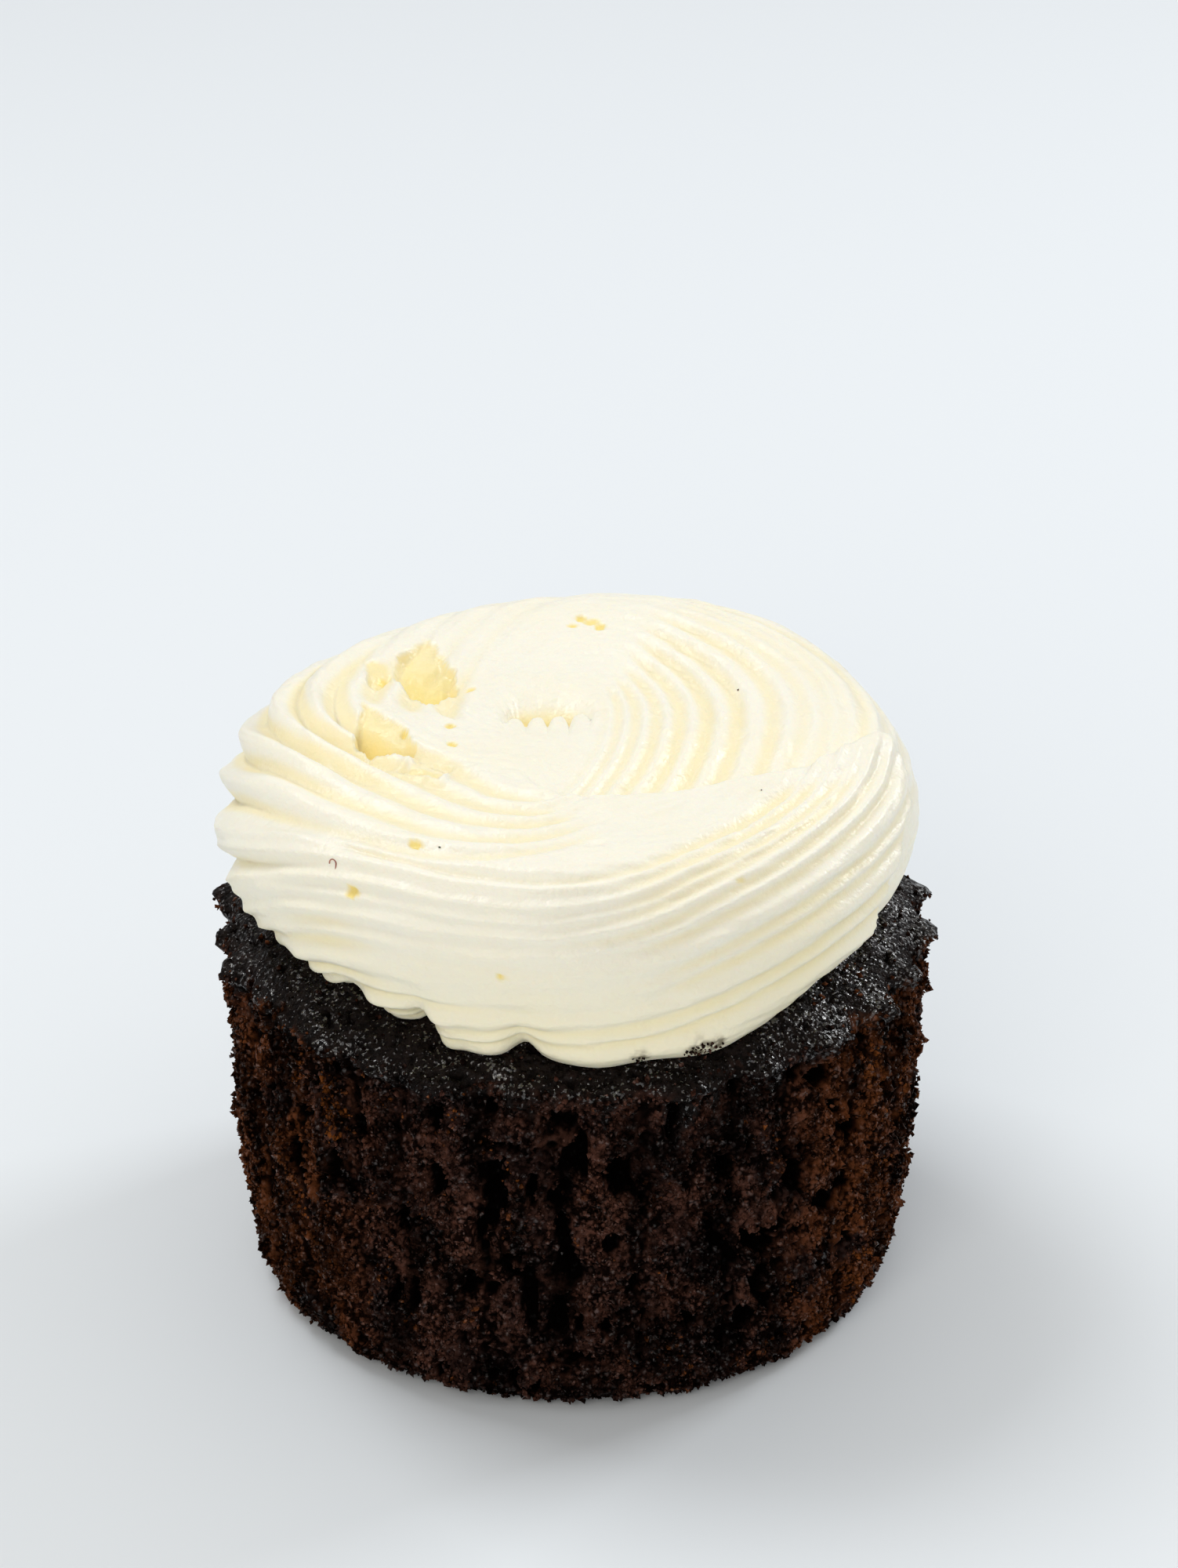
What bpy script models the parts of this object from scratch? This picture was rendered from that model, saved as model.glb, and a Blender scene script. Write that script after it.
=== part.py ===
"""A chocolate cupcake out of its paper case, topped with one flat swirl of cream from a star nozzle.

Blender 4.5, metres, +Z up. The origin is the centre of the flat bottom, on the surface that the cake
stands on. Azimuth 0 is +X and -90 is the front. The form functions work in millimetres and degrees,
and MM brings the finished meshes to metres.
"""

import bmesh
import bpy
import numpy as np
from mathutils import Vector, noise

MM = 0.001

# Cake, driving sizes in millimetres
RIM_RADIUS = 35.0  # lip of the baked cake, where the paper case ended
RIM_HEIGHT = 36.7
SIDE_TOP_RADIUS = 33.7  # just under the lip
SIDE_TOP_HEIGHT = 34.6
SIDE_BOTTOM_RADIUS = 32.2
SIDE_BULGE = 0.5  # the side swells a little between its ends
BOTTOM_ROUND = 3.4  # rounded edge between the side and the bottom
CRUST_RISE = 6.8  # from the lip to the middle of the domed crust
CRUST_POWER = 4.3
CRUST_BUMP = 0.25
FLUTES = 28  # folds of the paper case, printed into the side
FLUTE_DEPTH = 0.9
LIP_FLAKE = 1.1  # how far the torn flakes of the lip stand out
LIP_LIFT = 0.9  # how far they curl up and down
FRONT_CALM = 0.65  # how far the flakes vanish at the front
CRAG_DEPTH = 0.75  # torn crumb of the side
CRAG_SIZE = 4.2
SEED = 28

# Cream, driving sizes in millimetres
GAP = 0.3  # between the crust and the cream
SWIRL_OUTLINE = (  # (radius, height), from the middle of the top over the shoulder to the foot
    (0.0, 57.0), (6.0, 57.2), (14.0, 57.3), (22.0, 57.6), (26.0, 57.6), (29.0, 57.0),
    (31.6, 55.0), (33.2, 52.3), (33.9, 49.0), (33.6, 45.5), (32.6, 42.3), (31.0, 39.6),
)  # fmt: skip
WIDEST_S = 38.9  # arc length along the outline where the cream is widest
UNDER_LENGTH = 31.0

# Where the foot of the cream lies inside or outside the outline, lobes included: (azimuth, offset)
FOOT_OFFSET = (
    (-170, -0.7), (-154, -1.5), (-144, -2.4), (-141, -1.5), (-136, -1.6), (-133, -2.7), (-128.5, -2.5),
    (-126, -1.3), (-119, -1.1), (-115.5, -2.2), (-113.2, 0.0), (-108, 0.7), (-102, 0.6), (-98.2, -0.9),
    (-95, 0.3), (-88, 1.4), (-79, 1.2), (-68, 1.3), (-58, 0.5), (-49, -0.8), (-36, -2.6), (-19, -2.6),
    (-3, -0.4), (12, 0.5), (60, 0.0), (120, -0.6), (176, 0.0),
)  # fmt: skip
LOBE_REACH = 8.8  # how far up the wall the lobes of the foot reach

# Where the shoulder swells past the outline: (azimuth, offset)
SHOULDER_OFFSET = (
    (-175, 0.5), (-150, 0.1), (-100, 0.0), (-25, 0.0), (-5, 0.6), (10, 0.8), (25, 1.1), (50, 1.7),
    (65, 1.7), (82, 1.3), (98, 0.8), (115, 0.4), (131, 0.1), (150, 0.3),
)  # fmt: skip

# Edge where the outer band lies over the inner turn: (azimuth, arc length)
CREASE = (
    (-140, 9.0), (-120, 10.0), (-100, 12.0), (-85, 13.3), (-72, 14.0), (-58, 15.3), (-48, 16.3),
    (-35, 18.3), (-25, 21.5), (-13, 24.7), (0, 29.0),
)  # fmt: skip
INNER_DROP = ((-120, 0.0), (-100, 0.8), (-80, 1.7), (-60, 2.3), (-40, 2.7), (-20, 2.3), (-8, 1.5),
              (5, 0.8), (40, 0.0))  # fmt: skip
CREASE_WIDTH = 1.1
EDGE_ROLL = 0.6  # swell of the band's upper edge
# Blunt end of the rope, past which the turn below shows: (azimuth, arc length)
TAIL_END = ((-45, 50.0), (-35, 44.0), (-25, 38.0), (-10, 34.0), (0, 29.0))
TAIL_STEP = 0.8

# Ridges of the inner turn: arcs of one radius, side by side along +X
ARC_RADIUS = 30.0  # in front of the arcs' middle
ARC_RADIUS_BEHIND = 15.0
ARC_CENTRE_Y = 4.0
ARC_GROOVES = (2.9, 4.3, 6.0, 8.0, 10.3, 12.9, 15.9, 19.4, 22.3, 24.6, 26.2, 28.3, 30.8, 33.4, 36.2)
ARC_DEPTHS = (0.2, 0.35, 0.4, 0.45, 0.5, 0.55, 0.5, 0.45, 0.3, 0.25, 0.2, 0.35, 0.3, 0.3, 0.25)

# Ridges of the outer band: two fans of grooves, each measured from a leading groove
UPPER_LEAD = (
    (-290, 58.0), (-260, 47.0), (-235, 37.5), (-215, 34.0), (-200, 32.8), (-186, 30.6), (-175, 27.7),
    (-165, 24.8), (-150, 22.4), (-135, 21.4), (-116, 21.2), (-97, 19.4), (-85, 16.8), (-70, 14.0),
)  # fmt: skip
UPPER_SPREAD = ((-260, 1.9), (-220, 1.8), (-186, 1.8), (-165, 1.92), (-150, 1.85), (-135, 1.65),
                (-116, 1.45), (-97, 1.2), (-85, 1.1))  # fmt: skip
UPPER_GROOVES = (-11.0, -8.8, -6.6, -4.4, -2.2, 0.0, 2.4, 4.8)
UPPER_HEIGHT = (
    (-300, 0.0), (-265, 0.2), (-225, 0.4), (-205, 1.0), (-185, 2.0), (-172, 2.2), (-160, 1.5),
    (-148, 0.9), (-120, 0.5), (-95, 0.4), (-75, 0.0),
)  # fmt: skip
LOWER_LEAD = (
    (-290, 70.0), (-260, 64.0), (-220, 52.0), (-200, 46.5), (-180, 41.5), (-165, 37.8), (-153, 35.0),
    (-143, 32.6), (-135, 31.2), (-127, 30.3), (-109, 30.0), (-91, 29.7), (-78, 28.3), (-66, 26.2),
    (-45, 24.3), (-30, 23.8), (0, 24.2),
)  # fmt: skip
LOWER_SPREAD = ((-200, 1.35), (-170, 1.3), (-150, 1.15), (-120, 1.05), (-91, 0.95), (-66, 1.04),
                (-41, 1.0), (-15, 0.93), (0, 0.8))  # fmt: skip
# Each groove's place in the fan, and its weight on the left side
LOWER_GROOVES = (
    (0.0, 0.2), (1.7, 1.0), (3.4, 0.15), (4.6, 0.3), (6.4, 0.4), (8.2, 0.6), (11.0, 0.6), (12.6, 0.5),
    (15.4, 0.5), (17.0, 0.5),
)  # fmt: skip
LOWER_HEIGHT = (
    (-300, 0.0), (-265, 0.4), (-225, 0.7), (-200, 1.5), (-175, 2.1), (-158, 1.7), (-145, 1.1),
    (-120, 0.5), (-90, 0.45), (-60, 0.6), (-30, 0.6), (-10, 0.32), (0, 0.0),
)  # fmt: skip
LEDGE_STEP = 0.55  # the fold under the first groove of the lower fan stands proud

# Middle of the swirl: a hole with blunt teeth of cream on its front lip
HOLE_X = -2.6
HOLE_HALF_WIDTH = 4.3
HOLE_BACK_Y = 11.4
HOLE_FRONT_Y = 4.5
HOLE_DEPTH = 2.8
TOOTH_PITCH = 2.1
TOOTH_NOTCH = 1.6
TOOTH_RUN = 6.5  # length of the grooves between the teeth

# Torn pits: (depth, azimuth of the deep end, corners seen from above, running anticlockwise)
PITS = (
    (2.3, 245, ((-11.4, 8.5), (-11.7, 13.0), (-14.6, 20.5), (-17.9, 16.5), (-18.2, 11.0), (-14.4, 5.6))),
    (1.0, 230, ((-18.0, 10.5), (-17.6, 14.8), (-21.0, 14.6), (-20.4, 9.0))),
    (2.3, 225, ((-15.0, -3.2), (-16.6, 0.9), (-20.8, 5.6), (-21.4, -2.6), (-19.4, -5.0), (-16.0, -5.4))),
    (0.5, 240, ((-11.4, -7.4), (-14.8, -5.6), (-16.6, -8.0), (-12.8, -10.4))),
)
PIT_SHALLOW = 0.12  # depth at the shallow end, as a share of the deep end's
PIT_WALL = 0.8

# Mesh fineness before and after the surplus triangles are taken out
CREAM_COLUMNS = 300
CREAM_ROW = 0.36
CREAM_UNDER_ROWS = 10
CREAM_TRIANGLES = 7400
CAKE_COLUMNS = FLUTES * 8
CAKE_TRIANGLES = 4400


def curve(knots, x):
    """Smooth curve through (x, value) knots, level beyond the first and the last."""
    xs, ys = np.array(knots, float).T
    slopes = np.gradient(ys, xs)
    x = np.clip(x, xs[0], xs[-1])
    i = np.clip(np.searchsorted(xs, x) - 1, 0, len(xs) - 2)
    span = xs[i + 1] - xs[i]
    t = (x - xs[i]) / span
    rise = t * t * (3 - 2 * t)
    bend = t * (1 - t) * span * (slopes[i] * (1 - t) - slopes[i + 1] * t)
    return ys[i] + (ys[i + 1] - ys[i]) * rise + bend


def ring_curve(knots, azimuth):
    """Like curve, through knots in -180..180 degrees that repeat every turn."""
    turns = [(a + 360 * k, v) for k in (-1, 0, 1) for a, v in knots]
    return curve(turns, azimuth)


def ease(x, start, end):
    """0 before start, 1 after end, smooth between."""
    t = np.clip((x - start) / (end - start), 0, 1)
    return t * t * (3 - 2 * t)


def lumps(points, size, strength):
    """Seeded smooth noise at (n, 3) points, its lumps about size across."""
    values = [noise.noise(Vector(p) / size) for p in points.tolist()]
    return np.array(values) * strength


def polar(x, y):
    return np.degrees(np.arctan2(y, x)), np.hypot(x, y)


# Cake


def crust_height(x, y):
    """Height of the domed crust, also what the cream's underside follows."""
    radius = np.minimum(np.hypot(x, y), RIM_RADIUS)
    dome = RIM_HEIGHT + CRUST_RISE * (1 - (radius / RIM_RADIUS) ** CRUST_POWER)
    bumps = np.sin(0.55 * x + 0.3 * y) * np.sin(0.5 * y - 0.2 * x + 1.0)
    return dome + CRUST_BUMP * bumps * (1 - ease(radius, 30, 35))


def flute_wave(azimuth, sharpness):
    """Crests of the paper case's folds, uneven in place and strength: 1 on a crest, 0 in a fold."""
    random = np.random.default_rng(SEED)
    folds = np.arange(FLUTES) + random.uniform(-0.22, 0.22, FLUTES)
    strength = random.uniform(0.45, 1.15, FLUTES)
    turn = (azimuth / 360.0 * FLUTES - folds[0]) % FLUTES
    ends = np.append(folds - folds[0], FLUTES)
    flute = np.searchsorted(ends, turn, side="right") - 1
    along = (turn - ends[flute]) / (ends[flute + 1] - ends[flute])
    crest = 1 - np.abs(2 * along - 1)
    return strength[flute] * (1 - (1 - crest) ** sharpness)


def cake_outline():
    """(radius, height) rows from the middle of the bottom, up the side and over the crust."""
    rows = [(r, 0.0) for r in (0.0, 9.0, 18.0, SIDE_BOTTOM_RADIUS - BOTTOM_ROUND)]
    for turn in np.linspace(0, np.pi / 2, 7)[1:]:
        rows.append((
            SIDE_BOTTOM_RADIUS - BOTTOM_ROUND * (1 - np.sin(turn)),
            BOTTOM_ROUND * (1 - np.cos(turn)),
        ))  # fmt: skip
    for up in np.linspace(0, 1, 26)[1:]:
        rows.append((
            SIDE_BOTTOM_RADIUS + (SIDE_TOP_RADIUS - SIDE_BOTTOM_RADIUS) * up + SIDE_BULGE * 4 * up * (1 - up),
            BOTTOM_ROUND + (SIDE_TOP_HEIGHT - BOTTOM_ROUND) * up,
        ))  # fmt: skip
    rows.append((SIDE_TOP_RADIUS + 0.5, SIDE_TOP_HEIGHT + 1.0))
    rows.append((RIM_RADIUS - 0.2, RIM_HEIGHT - 0.5))
    for inward in (0.15, 0.7, 1.6, 2.8, 4.5, 7.0, 11.0, 16.0, 22.0, 28.0, RIM_RADIUS):
        radius = RIM_RADIUS - inward
        rows.append((radius, float(crust_height(radius, 0.0))))
    return rows


def shape_cake(points):
    """Moves the turned cake's points: flutes, torn crumb and the flakes of the lip."""
    x, y, z = points.T
    azimuth, radius = polar(x, y)
    outer = 1 - ease(z, RIM_HEIGHT, RIM_HEIGHT + 1.6)
    side = ease(z, 1.0, 7.0) * outer
    lip = ease(z, SIDE_TOP_HEIGHT - 1.5, RIM_HEIGHT - 0.5) * outer
    lip *= 1 - FRONT_CALM * ease(azimuth, -150, -120) * (1 - ease(azimuth, -60, -35))
    out = side * FLUTE_DEPTH * (flute_wave(azimuth, 1.4) - 0.5)
    out += lip * LIP_FLAKE * (flute_wave(azimuth, 1.0) - 0.55)
    stretched = points * (1.0, 1.0, 0.6)
    out += side * lumps(stretched, CRAG_SIZE, CRAG_DEPTH)
    out += side * lumps(stretched + 50.0, CRAG_SIZE * 0.45, CRAG_DEPTH * 0.6)
    scale = 1 + out / np.maximum(radius, 1.0)
    lift = lip * LIP_LIFT * (flute_wave(azimuth + 2.0, 1.0) - 0.5)
    height = np.where(z > RIM_HEIGHT + 1.6, crust_height(x, y), z + lift)
    return np.stack([x * scale, y * scale, height], axis=-1)


# Cream


def outline_by_length():
    """The cream's outline as radius and height curves over the arc length."""
    points = np.array(SWIRL_OUTLINE)
    steps = np.hypot(*np.diff(points, axis=0).T)
    lengths = np.concatenate([[0.0], np.cumsum(steps)])
    radii = list(zip(lengths, points[:, 0]))
    heights = list(zip(lengths, points[:, 1]))
    return radii, heights, float(lengths[-1])


RADII, HEIGHTS, WALL_LENGTH = outline_by_length()


def grooves(place, spots, half_width, roundness, power=2.0):
    """0 on the crests and 1 at the bottom of a groove, for grooves of unequal weight.

    spots is a list of (position, weight). A power of 1 leaves a sharp fold at the bottom, and 2 a hollow.
    """
    depth = np.zeros_like(place)
    for spot, weight in spots:
        across = np.clip(1 - np.abs((place - spot) / half_width) ** power, 0, 1)
        depth = np.maximum(depth, weight * across**roundness)
    return depth


def inner_ridges(azimuth, s):
    """Arcs of the inner turn, on the right side of the top and down the wall below them."""
    x = s * np.cos(np.radians(azimuth))
    y = s * np.sin(np.radians(azimuth))
    bend = np.where(y > ARC_CENTRE_Y, ARC_RADIUS_BEHIND, ARC_RADIUS)
    place = x + (y - ARC_CENTRE_Y) ** 2 / (2 * bend)
    pitch = curve(((3, 0.75), (8, 1.1), (14, 1.35), (20, 1.5), (30, 1.35)), place)
    cut = grooves(place, list(zip(ARC_GROOVES, ARC_DEPTHS)), pitch, 1.6)
    reach = ease(azimuth, -112, -92) * (1 - ease(azimuth, 58, 84)) * (place > 1.5)
    return -cut * reach


def band_ridges(azimuth, s):
    """The two fans of grooves on the outer band, from the back round the left to the tail."""
    upper_lead = curve(UPPER_LEAD, azimuth)
    upper_spread = curve(UPPER_SPREAD, azimuth)
    lower_lead = curve(LOWER_LEAD, azimuth)
    lower_spread = curve(LOWER_SPREAD, azimuth)
    hub = 1 - ease(azimuth, -205, -190)
    front = ease(azimuth, -150, -128)
    half = curve(((-220, 1.35), (-150, 1.1), (-110, 1.05), (-40, 1.05), (0, 0.85)), azimuth)
    roundness = curve(((-170, 1.35), (-120, 2.0), (0, 2.2)), azimuth)
    power = curve(((-165, 1.1), (-125, 2.0)), azimuth)

    upper = []
    for offset in UPPER_GROOVES:
        upper.append((upper_lead + offset * upper_spread, hub if offset < -5 else 1.0))
    cut = grooves(s, upper, 1.15 * upper_spread, roundness, power)
    cut *= curve(UPPER_HEIGHT, azimuth)

    lower = []
    for offset, on_left in LOWER_GROOVES:
        lower.append((lower_lead + offset * lower_spread, on_left + (1 - on_left) * front))
    faint = ease(azimuth, -135, -110) * (1 - ease(azimuth, -85, -68)) * ease(s, 35.5, 37.5)
    faint = 1 - 0.75 * faint * (1 - ease(s, 41, 43))
    low = grooves(s, lower, half * 1.2 * lower_spread, roundness, power)
    low *= curve(LOWER_HEIGHT, azimuth) * faint
    return -np.maximum(cut, low)


def band_share(azimuth, s):
    """1 on the outer band, 0 on the inner turn, past the rope's end and round the back."""
    above = ease(s - curve(CREASE, azimuth), -0.15, CREASE_WIDTH)
    started = ease(azimuth, -140, -118)
    before_end = 1 - ease(s - curve(TAIL_END, azimuth), -0.3, 0.5)
    share = (above * started + 1 - started) * before_end * (1 - ease(azimuth, -3, 0))
    return np.where(azimuth > 0, 0.0, share)


def hole_depth(x, y):
    """The hole in the middle, with the toothed front lip."""
    from_middle = (x - HOLE_X) / HOLE_HALF_WIDTH
    width = 1 - ease(from_middle, 0.3, 1.35) - ease(-from_middle, 0.55, 1.15)
    across = (x - HOLE_X) / TOOTH_PITCH
    tooth = 1 - np.abs(2 * (across - np.floor(across)) - 1) ** 3
    front = HOLE_FRONT_Y - TOOTH_NOTCH * (1 - tooth) + 0.7 * from_middle - 0.5 * from_middle**2
    back_edge = HOLE_BACK_Y - 2.2 * from_middle**2
    back = np.clip((back_edge - y) / (back_edge - HOLE_FRONT_Y), 0, 1)
    bowl = HOLE_DEPTH * back**1.8 * ease(y - front, -0.3, 0.35)
    run = ease(y, HOLE_FRONT_Y - TOOTH_RUN, HOLE_FRONT_Y)
    between = (1 - tooth) * 0.7 * run * (1 - ease(y - front, -0.2, 0.5))
    lip = 0.55 * run * (1 - ease(y - front, 0.0, 0.5))
    return (bowl + between + lip) * width


def pit_depth(x, y):
    """Torn pits with flat sloping floors, steep walls and a slightly raised edge."""
    depth = np.zeros_like(x)
    for deep, lean, corners in PITS:
        inside = np.full_like(x, 99.0)
        for (ax, ay), (bx, by) in zip(corners, corners[1:] + corners[:1]):
            length = np.hypot(bx - ax, by - ay)
            inside = np.minimum(inside, ((bx - ax) * (y - ay) - (by - ay) * (x - ax)) / length)
        lean_x, lean_y = np.cos(np.radians(lean)), np.sin(np.radians(lean))
        reach = [cx * lean_x + cy * lean_y for cx, cy in corners]
        along = np.clip((x * lean_x + y * lean_y - min(reach)) / (max(reach) - min(reach)), 0, 1)
        floor = deep * (PIT_SHALLOW + (1 - PIT_SHALLOW) * along)
        rim = 0.3 * ease(inside, -1.5, -0.3) * (1 - ease(inside, -0.3, 0.2))
        depth = np.maximum(depth, floor * ease(inside, -0.1, PIT_WALL)) - rim
    return depth


def shape_cream(azimuth, s):
    """Points of the cream at (azimuth, arc length); past the wall's length they run underneath."""
    wall = np.minimum(s, WALL_LENGTH)
    under = np.clip((s - WALL_LENGTH) / UNDER_LENGTH, 0, 1)
    band_azimuth = np.where(azimuth > 0, azimuth - 360, azimuth)

    radius = curve(RADII, wall)
    height = curve(HEIGHTS, wall)
    slope_r = curve(RADII, wall + 0.05) - curve(RADII, wall - 0.05)
    slope_z = curve(HEIGHTS, wall + 0.05) - curve(HEIGHTS, wall - 0.05)
    length = np.maximum(np.hypot(slope_r, slope_z), 1e-6)
    normal_r, normal_z = -slope_z / length, slope_r / length
    flat = (wall < 0.1) | (wall > WALL_LENGTH - 0.1)
    normal_r = np.where(flat & (wall < 1), 0.0, normal_r)
    normal_z = np.where(flat & (wall < 1), 1.0, normal_z)

    on_band = band_share(azimuth, wall)
    patterned = np.where(azimuth > 0, ease(azimuth, 62, 88), on_band)
    relief = patterned * band_ridges(band_azimuth, wall)
    relief += (1 - patterned) * inner_ridges(azimuth, wall)
    tall = curve(LOWER_HEIGHT, band_azimuth)
    relief += 0.35 * patterned * tall * ease(wall, 22, 30)
    under_lead = wall - curve(LOWER_LEAD, band_azimuth) + 1.5 * (1 - ease(band_azimuth, -150, -125))
    fold = ease(band_azimuth, -185, -165) * (1 - ease(band_azimuth, -105, -75))
    relief += LEDGE_STEP * fold * ease(under_lead, -0.2, 0.7) * (1 - ease(under_lead, 2.0, 9.0))

    from_crease = wall - curve(CREASE, np.minimum(azimuth, 0))
    rolled = on_band * ease(azimuth, -120, -80) * (azimuth < 0)
    relief += EDGE_ROLL * rolled * ease(from_crease, 0.0, 1.8) * (1 - ease(from_crease, 1.8, 6.5))

    inside = np.clip(wall / curve(CREASE, np.minimum(azimuth, 0)), 0, 1.4)
    drop = curve(INNER_DROP, azimuth) * inside**1.6 * (1 - ease(wall, 27, 31))
    near_end = ease(azimuth, -50, -40) * (1 - ease(azimuth, 20, 60))
    drop += TAIL_STEP * near_end * ease(wall, 27, 33)
    lowered = drop * np.where(azimuth > 0, 1.0, 1 - on_band)
    offset = (relief - lowered) * (1 - 0.5 * ease(wall, 45, WALL_LENGTH))

    angle = np.radians(azimuth)
    shoulder = ring_curve(SHOULDER_OFFSET, azimuth) * ease(wall, 12, 26) * (1 - ease(wall, 36, 43))
    offset = offset + shoulder
    foot_reach = ease(wall, WALL_LENGTH - LOBE_REACH, WALL_LENGTH - 0.5) ** 1.4
    radius = radius + normal_r * offset + ring_curve(FOOT_OFFSET, azimuth) * foot_reach
    height = height + normal_z * offset
    x, y = radius * np.cos(angle), radius * np.sin(angle)
    height = height - (hole_depth(x, y) + pit_depth(x, y)) * (wall < 30)

    foot = crust_height(x, y) + GAP
    squeeze = (height - HEIGHTS[-1][1]) / (49.0 - HEIGHTS[-1][1])
    height = np.where(wall > WIDEST_S, foot + squeeze * (49.0 - foot), height)
    x, y = x * (1 - under), y * (1 - under)
    height = np.where(s > WALL_LENGTH - 0.01, crust_height(x, y) + GAP, height)
    return np.stack([x, y, height], axis=-1)


# Objects


def turned_mesh(name, rows, columns):
    """Closed mesh turned from (radius, height) rows, both ends of which lie on the axis."""
    shape = bmesh.new()
    made = [shape.verts.new((r, 0.0, z)) for r, z in rows]
    for first, second in zip(made, made[1:]):
        shape.edges.new((first, second))
    bmesh.ops.spin(
        shape,
        geom=shape.verts[:] + shape.edges[:],
        cent=(0.0, 0.0, 0.0),
        axis=(0.0, 0.0, 1.0),
        angle=2 * np.pi,
        steps=columns,
        use_merge=True,
    )
    bmesh.ops.remove_doubles(shape, verts=shape.verts[:], dist=1e-5)
    bmesh.ops.recalc_face_normals(shape, faces=shape.faces[:])
    mesh = bpy.data.meshes.new(name)
    shape.to_mesh(mesh)
    shape.free()
    return mesh


def points_of(mesh):
    flat = np.empty(len(mesh.vertices) * 3)
    mesh.vertices.foreach_get("co", flat)
    return flat.reshape(-1, 3)


def finish(mesh, name, points, material, triangles):
    """Puts the points in place in metres, takes out surplus triangles and shades the object."""
    mesh.vertices.foreach_set("co", (points * MM).ravel())
    mesh.update()
    piece = bpy.data.objects.new(name, mesh)
    bpy.context.scene.collection.objects.link(piece)
    piece.data.materials.append(material)
    full = sum(len(face.vertices) - 2 for face in mesh.polygons)
    thin = piece.modifiers.new("Surplus triangles", "DECIMATE")
    thin.ratio = triangles / full
    thin.use_collapse_triangulate = True
    mesh.shade_smooth()
    return piece


def material(name, colour, roughness):
    made = bpy.data.materials.new(name)
    made.use_nodes = True
    shader = made.node_tree.nodes["Principled BSDF"]
    shader.inputs["Base Color"].default_value = (*colour, 1.0)
    shader.inputs["Roughness"].default_value = roughness
    shader.inputs["Metallic"].default_value = 0.0
    made.diffuse_color = (*colour, 1.0)
    return made


def make_cake():
    mesh = turned_mesh("sponge", cake_outline(), CAKE_COLUMNS)
    points = shape_cake(points_of(mesh))
    crumb = material("chocolate_crumb", (0.025, 0.013, 0.009), 0.85)
    return finish(mesh, "sponge", points, crumb, CAKE_TRIANGLES)


def make_cream():
    steps = int(WALL_LENGTH / CREAM_ROW)
    lengths = np.linspace(0, WALL_LENGTH, steps + 1)
    lengths = np.concatenate([
        lengths,
        WALL_LENGTH + np.linspace(0, UNDER_LENGTH, CREAM_UNDER_ROWS + 1)[1:],
    ])  # fmt: skip
    radii = np.where(lengths > WALL_LENGTH, WALL_LENGTH + UNDER_LENGTH - lengths, lengths)
    rows = [(float(r), -float(s)) for r, s in zip(radii, lengths)]
    mesh = turned_mesh("cream_swirl", rows, CREAM_COLUMNS)
    points = points_of(mesh)
    azimuth, _ = polar(points[:, 0], points[:, 1])
    shaped = shape_cream(azimuth, -points[:, 2])
    cream = material("piped_cream", (0.93, 0.87, 0.72), 0.45)
    return finish(mesh, "cream_swirl", shaped, cream, CREAM_TRIANGLES)


def main():
    for thing in list(bpy.data.objects):
        bpy.data.objects.remove(thing, do_unlink=True)
    make_cake()
    make_cream()


main()
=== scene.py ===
"""A chocolate cupcake out of its paper case, with a torn fluted side and one flat swirl of piped cream.

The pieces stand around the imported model, in metres. The form functions work in millimetres and degrees:
azimuth 0 is +X and -90 is the front.
"""

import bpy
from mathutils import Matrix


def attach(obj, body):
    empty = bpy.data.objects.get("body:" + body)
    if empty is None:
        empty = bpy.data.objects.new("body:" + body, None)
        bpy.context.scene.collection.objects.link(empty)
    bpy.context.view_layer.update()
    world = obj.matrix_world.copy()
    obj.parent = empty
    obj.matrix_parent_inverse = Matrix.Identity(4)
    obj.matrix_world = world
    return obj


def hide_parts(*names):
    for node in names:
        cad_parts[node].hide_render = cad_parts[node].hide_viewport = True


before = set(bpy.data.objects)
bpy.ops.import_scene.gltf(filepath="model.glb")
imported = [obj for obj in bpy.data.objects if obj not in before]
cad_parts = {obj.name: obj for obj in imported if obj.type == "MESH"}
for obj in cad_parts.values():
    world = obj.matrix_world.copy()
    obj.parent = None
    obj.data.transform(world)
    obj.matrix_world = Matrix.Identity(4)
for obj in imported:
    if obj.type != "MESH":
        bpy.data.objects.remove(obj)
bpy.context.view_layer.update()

from types import SimpleNamespace

import bmesh
import bpy
import numpy as np
from mathutils import Euler, Vector, noise

bl_info = {
    "name": "Cupcake with a cream swirl",
    "version": (1, 0, 0),
    "blender": (4, 5, 0),
    "location": "3D View > Sidebar > Cupcake",
    "description": "Makes a chocolate cupcake with piped cream around its packed model",
    "category": "Add Mesh",
}

MM = 0.001
SEED = 28

# Cream, from the middle of the top over the shoulder to the foot: (radius, height)
SWIRL_OUTLINE = (
    (0.0, 57.0), (6.0, 57.2), (14.0, 57.3), (22.0, 57.6), (26.0, 57.6), (29.0, 57.0),
    (31.6, 55.0), (33.2, 52.3), (33.9, 49.0), (33.6, 45.5), (32.6, 42.3), (31.0, 39.6),
)

# Where the foot of the cream lies inside or outside the outline, lobes included: (azimuth, offset)
FOOT_OFFSET = (
    (-170, -0.7), (-154, -1.5), (-144, -2.4), (-141, -1.5), (-136, -1.6), (-133, -2.7), (-128.5, -2.5),
    (-126, -1.3), (-119, -1.1), (-115.5, -2.2), (-113.2, 0.0), (-108, 0.7), (-102, 0.6), (-98.2, -0.9),
    (-95, 0.3), (-88, 1.4), (-79, 1.2), (-68, 1.3), (-58, 0.5), (-49, -0.8), (-36, -2.6), (-19, -2.6),
    (-3, -0.4), (12, 0.5), (60, 0.0), (120, -0.6), (176, 0.0),
)

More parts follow.
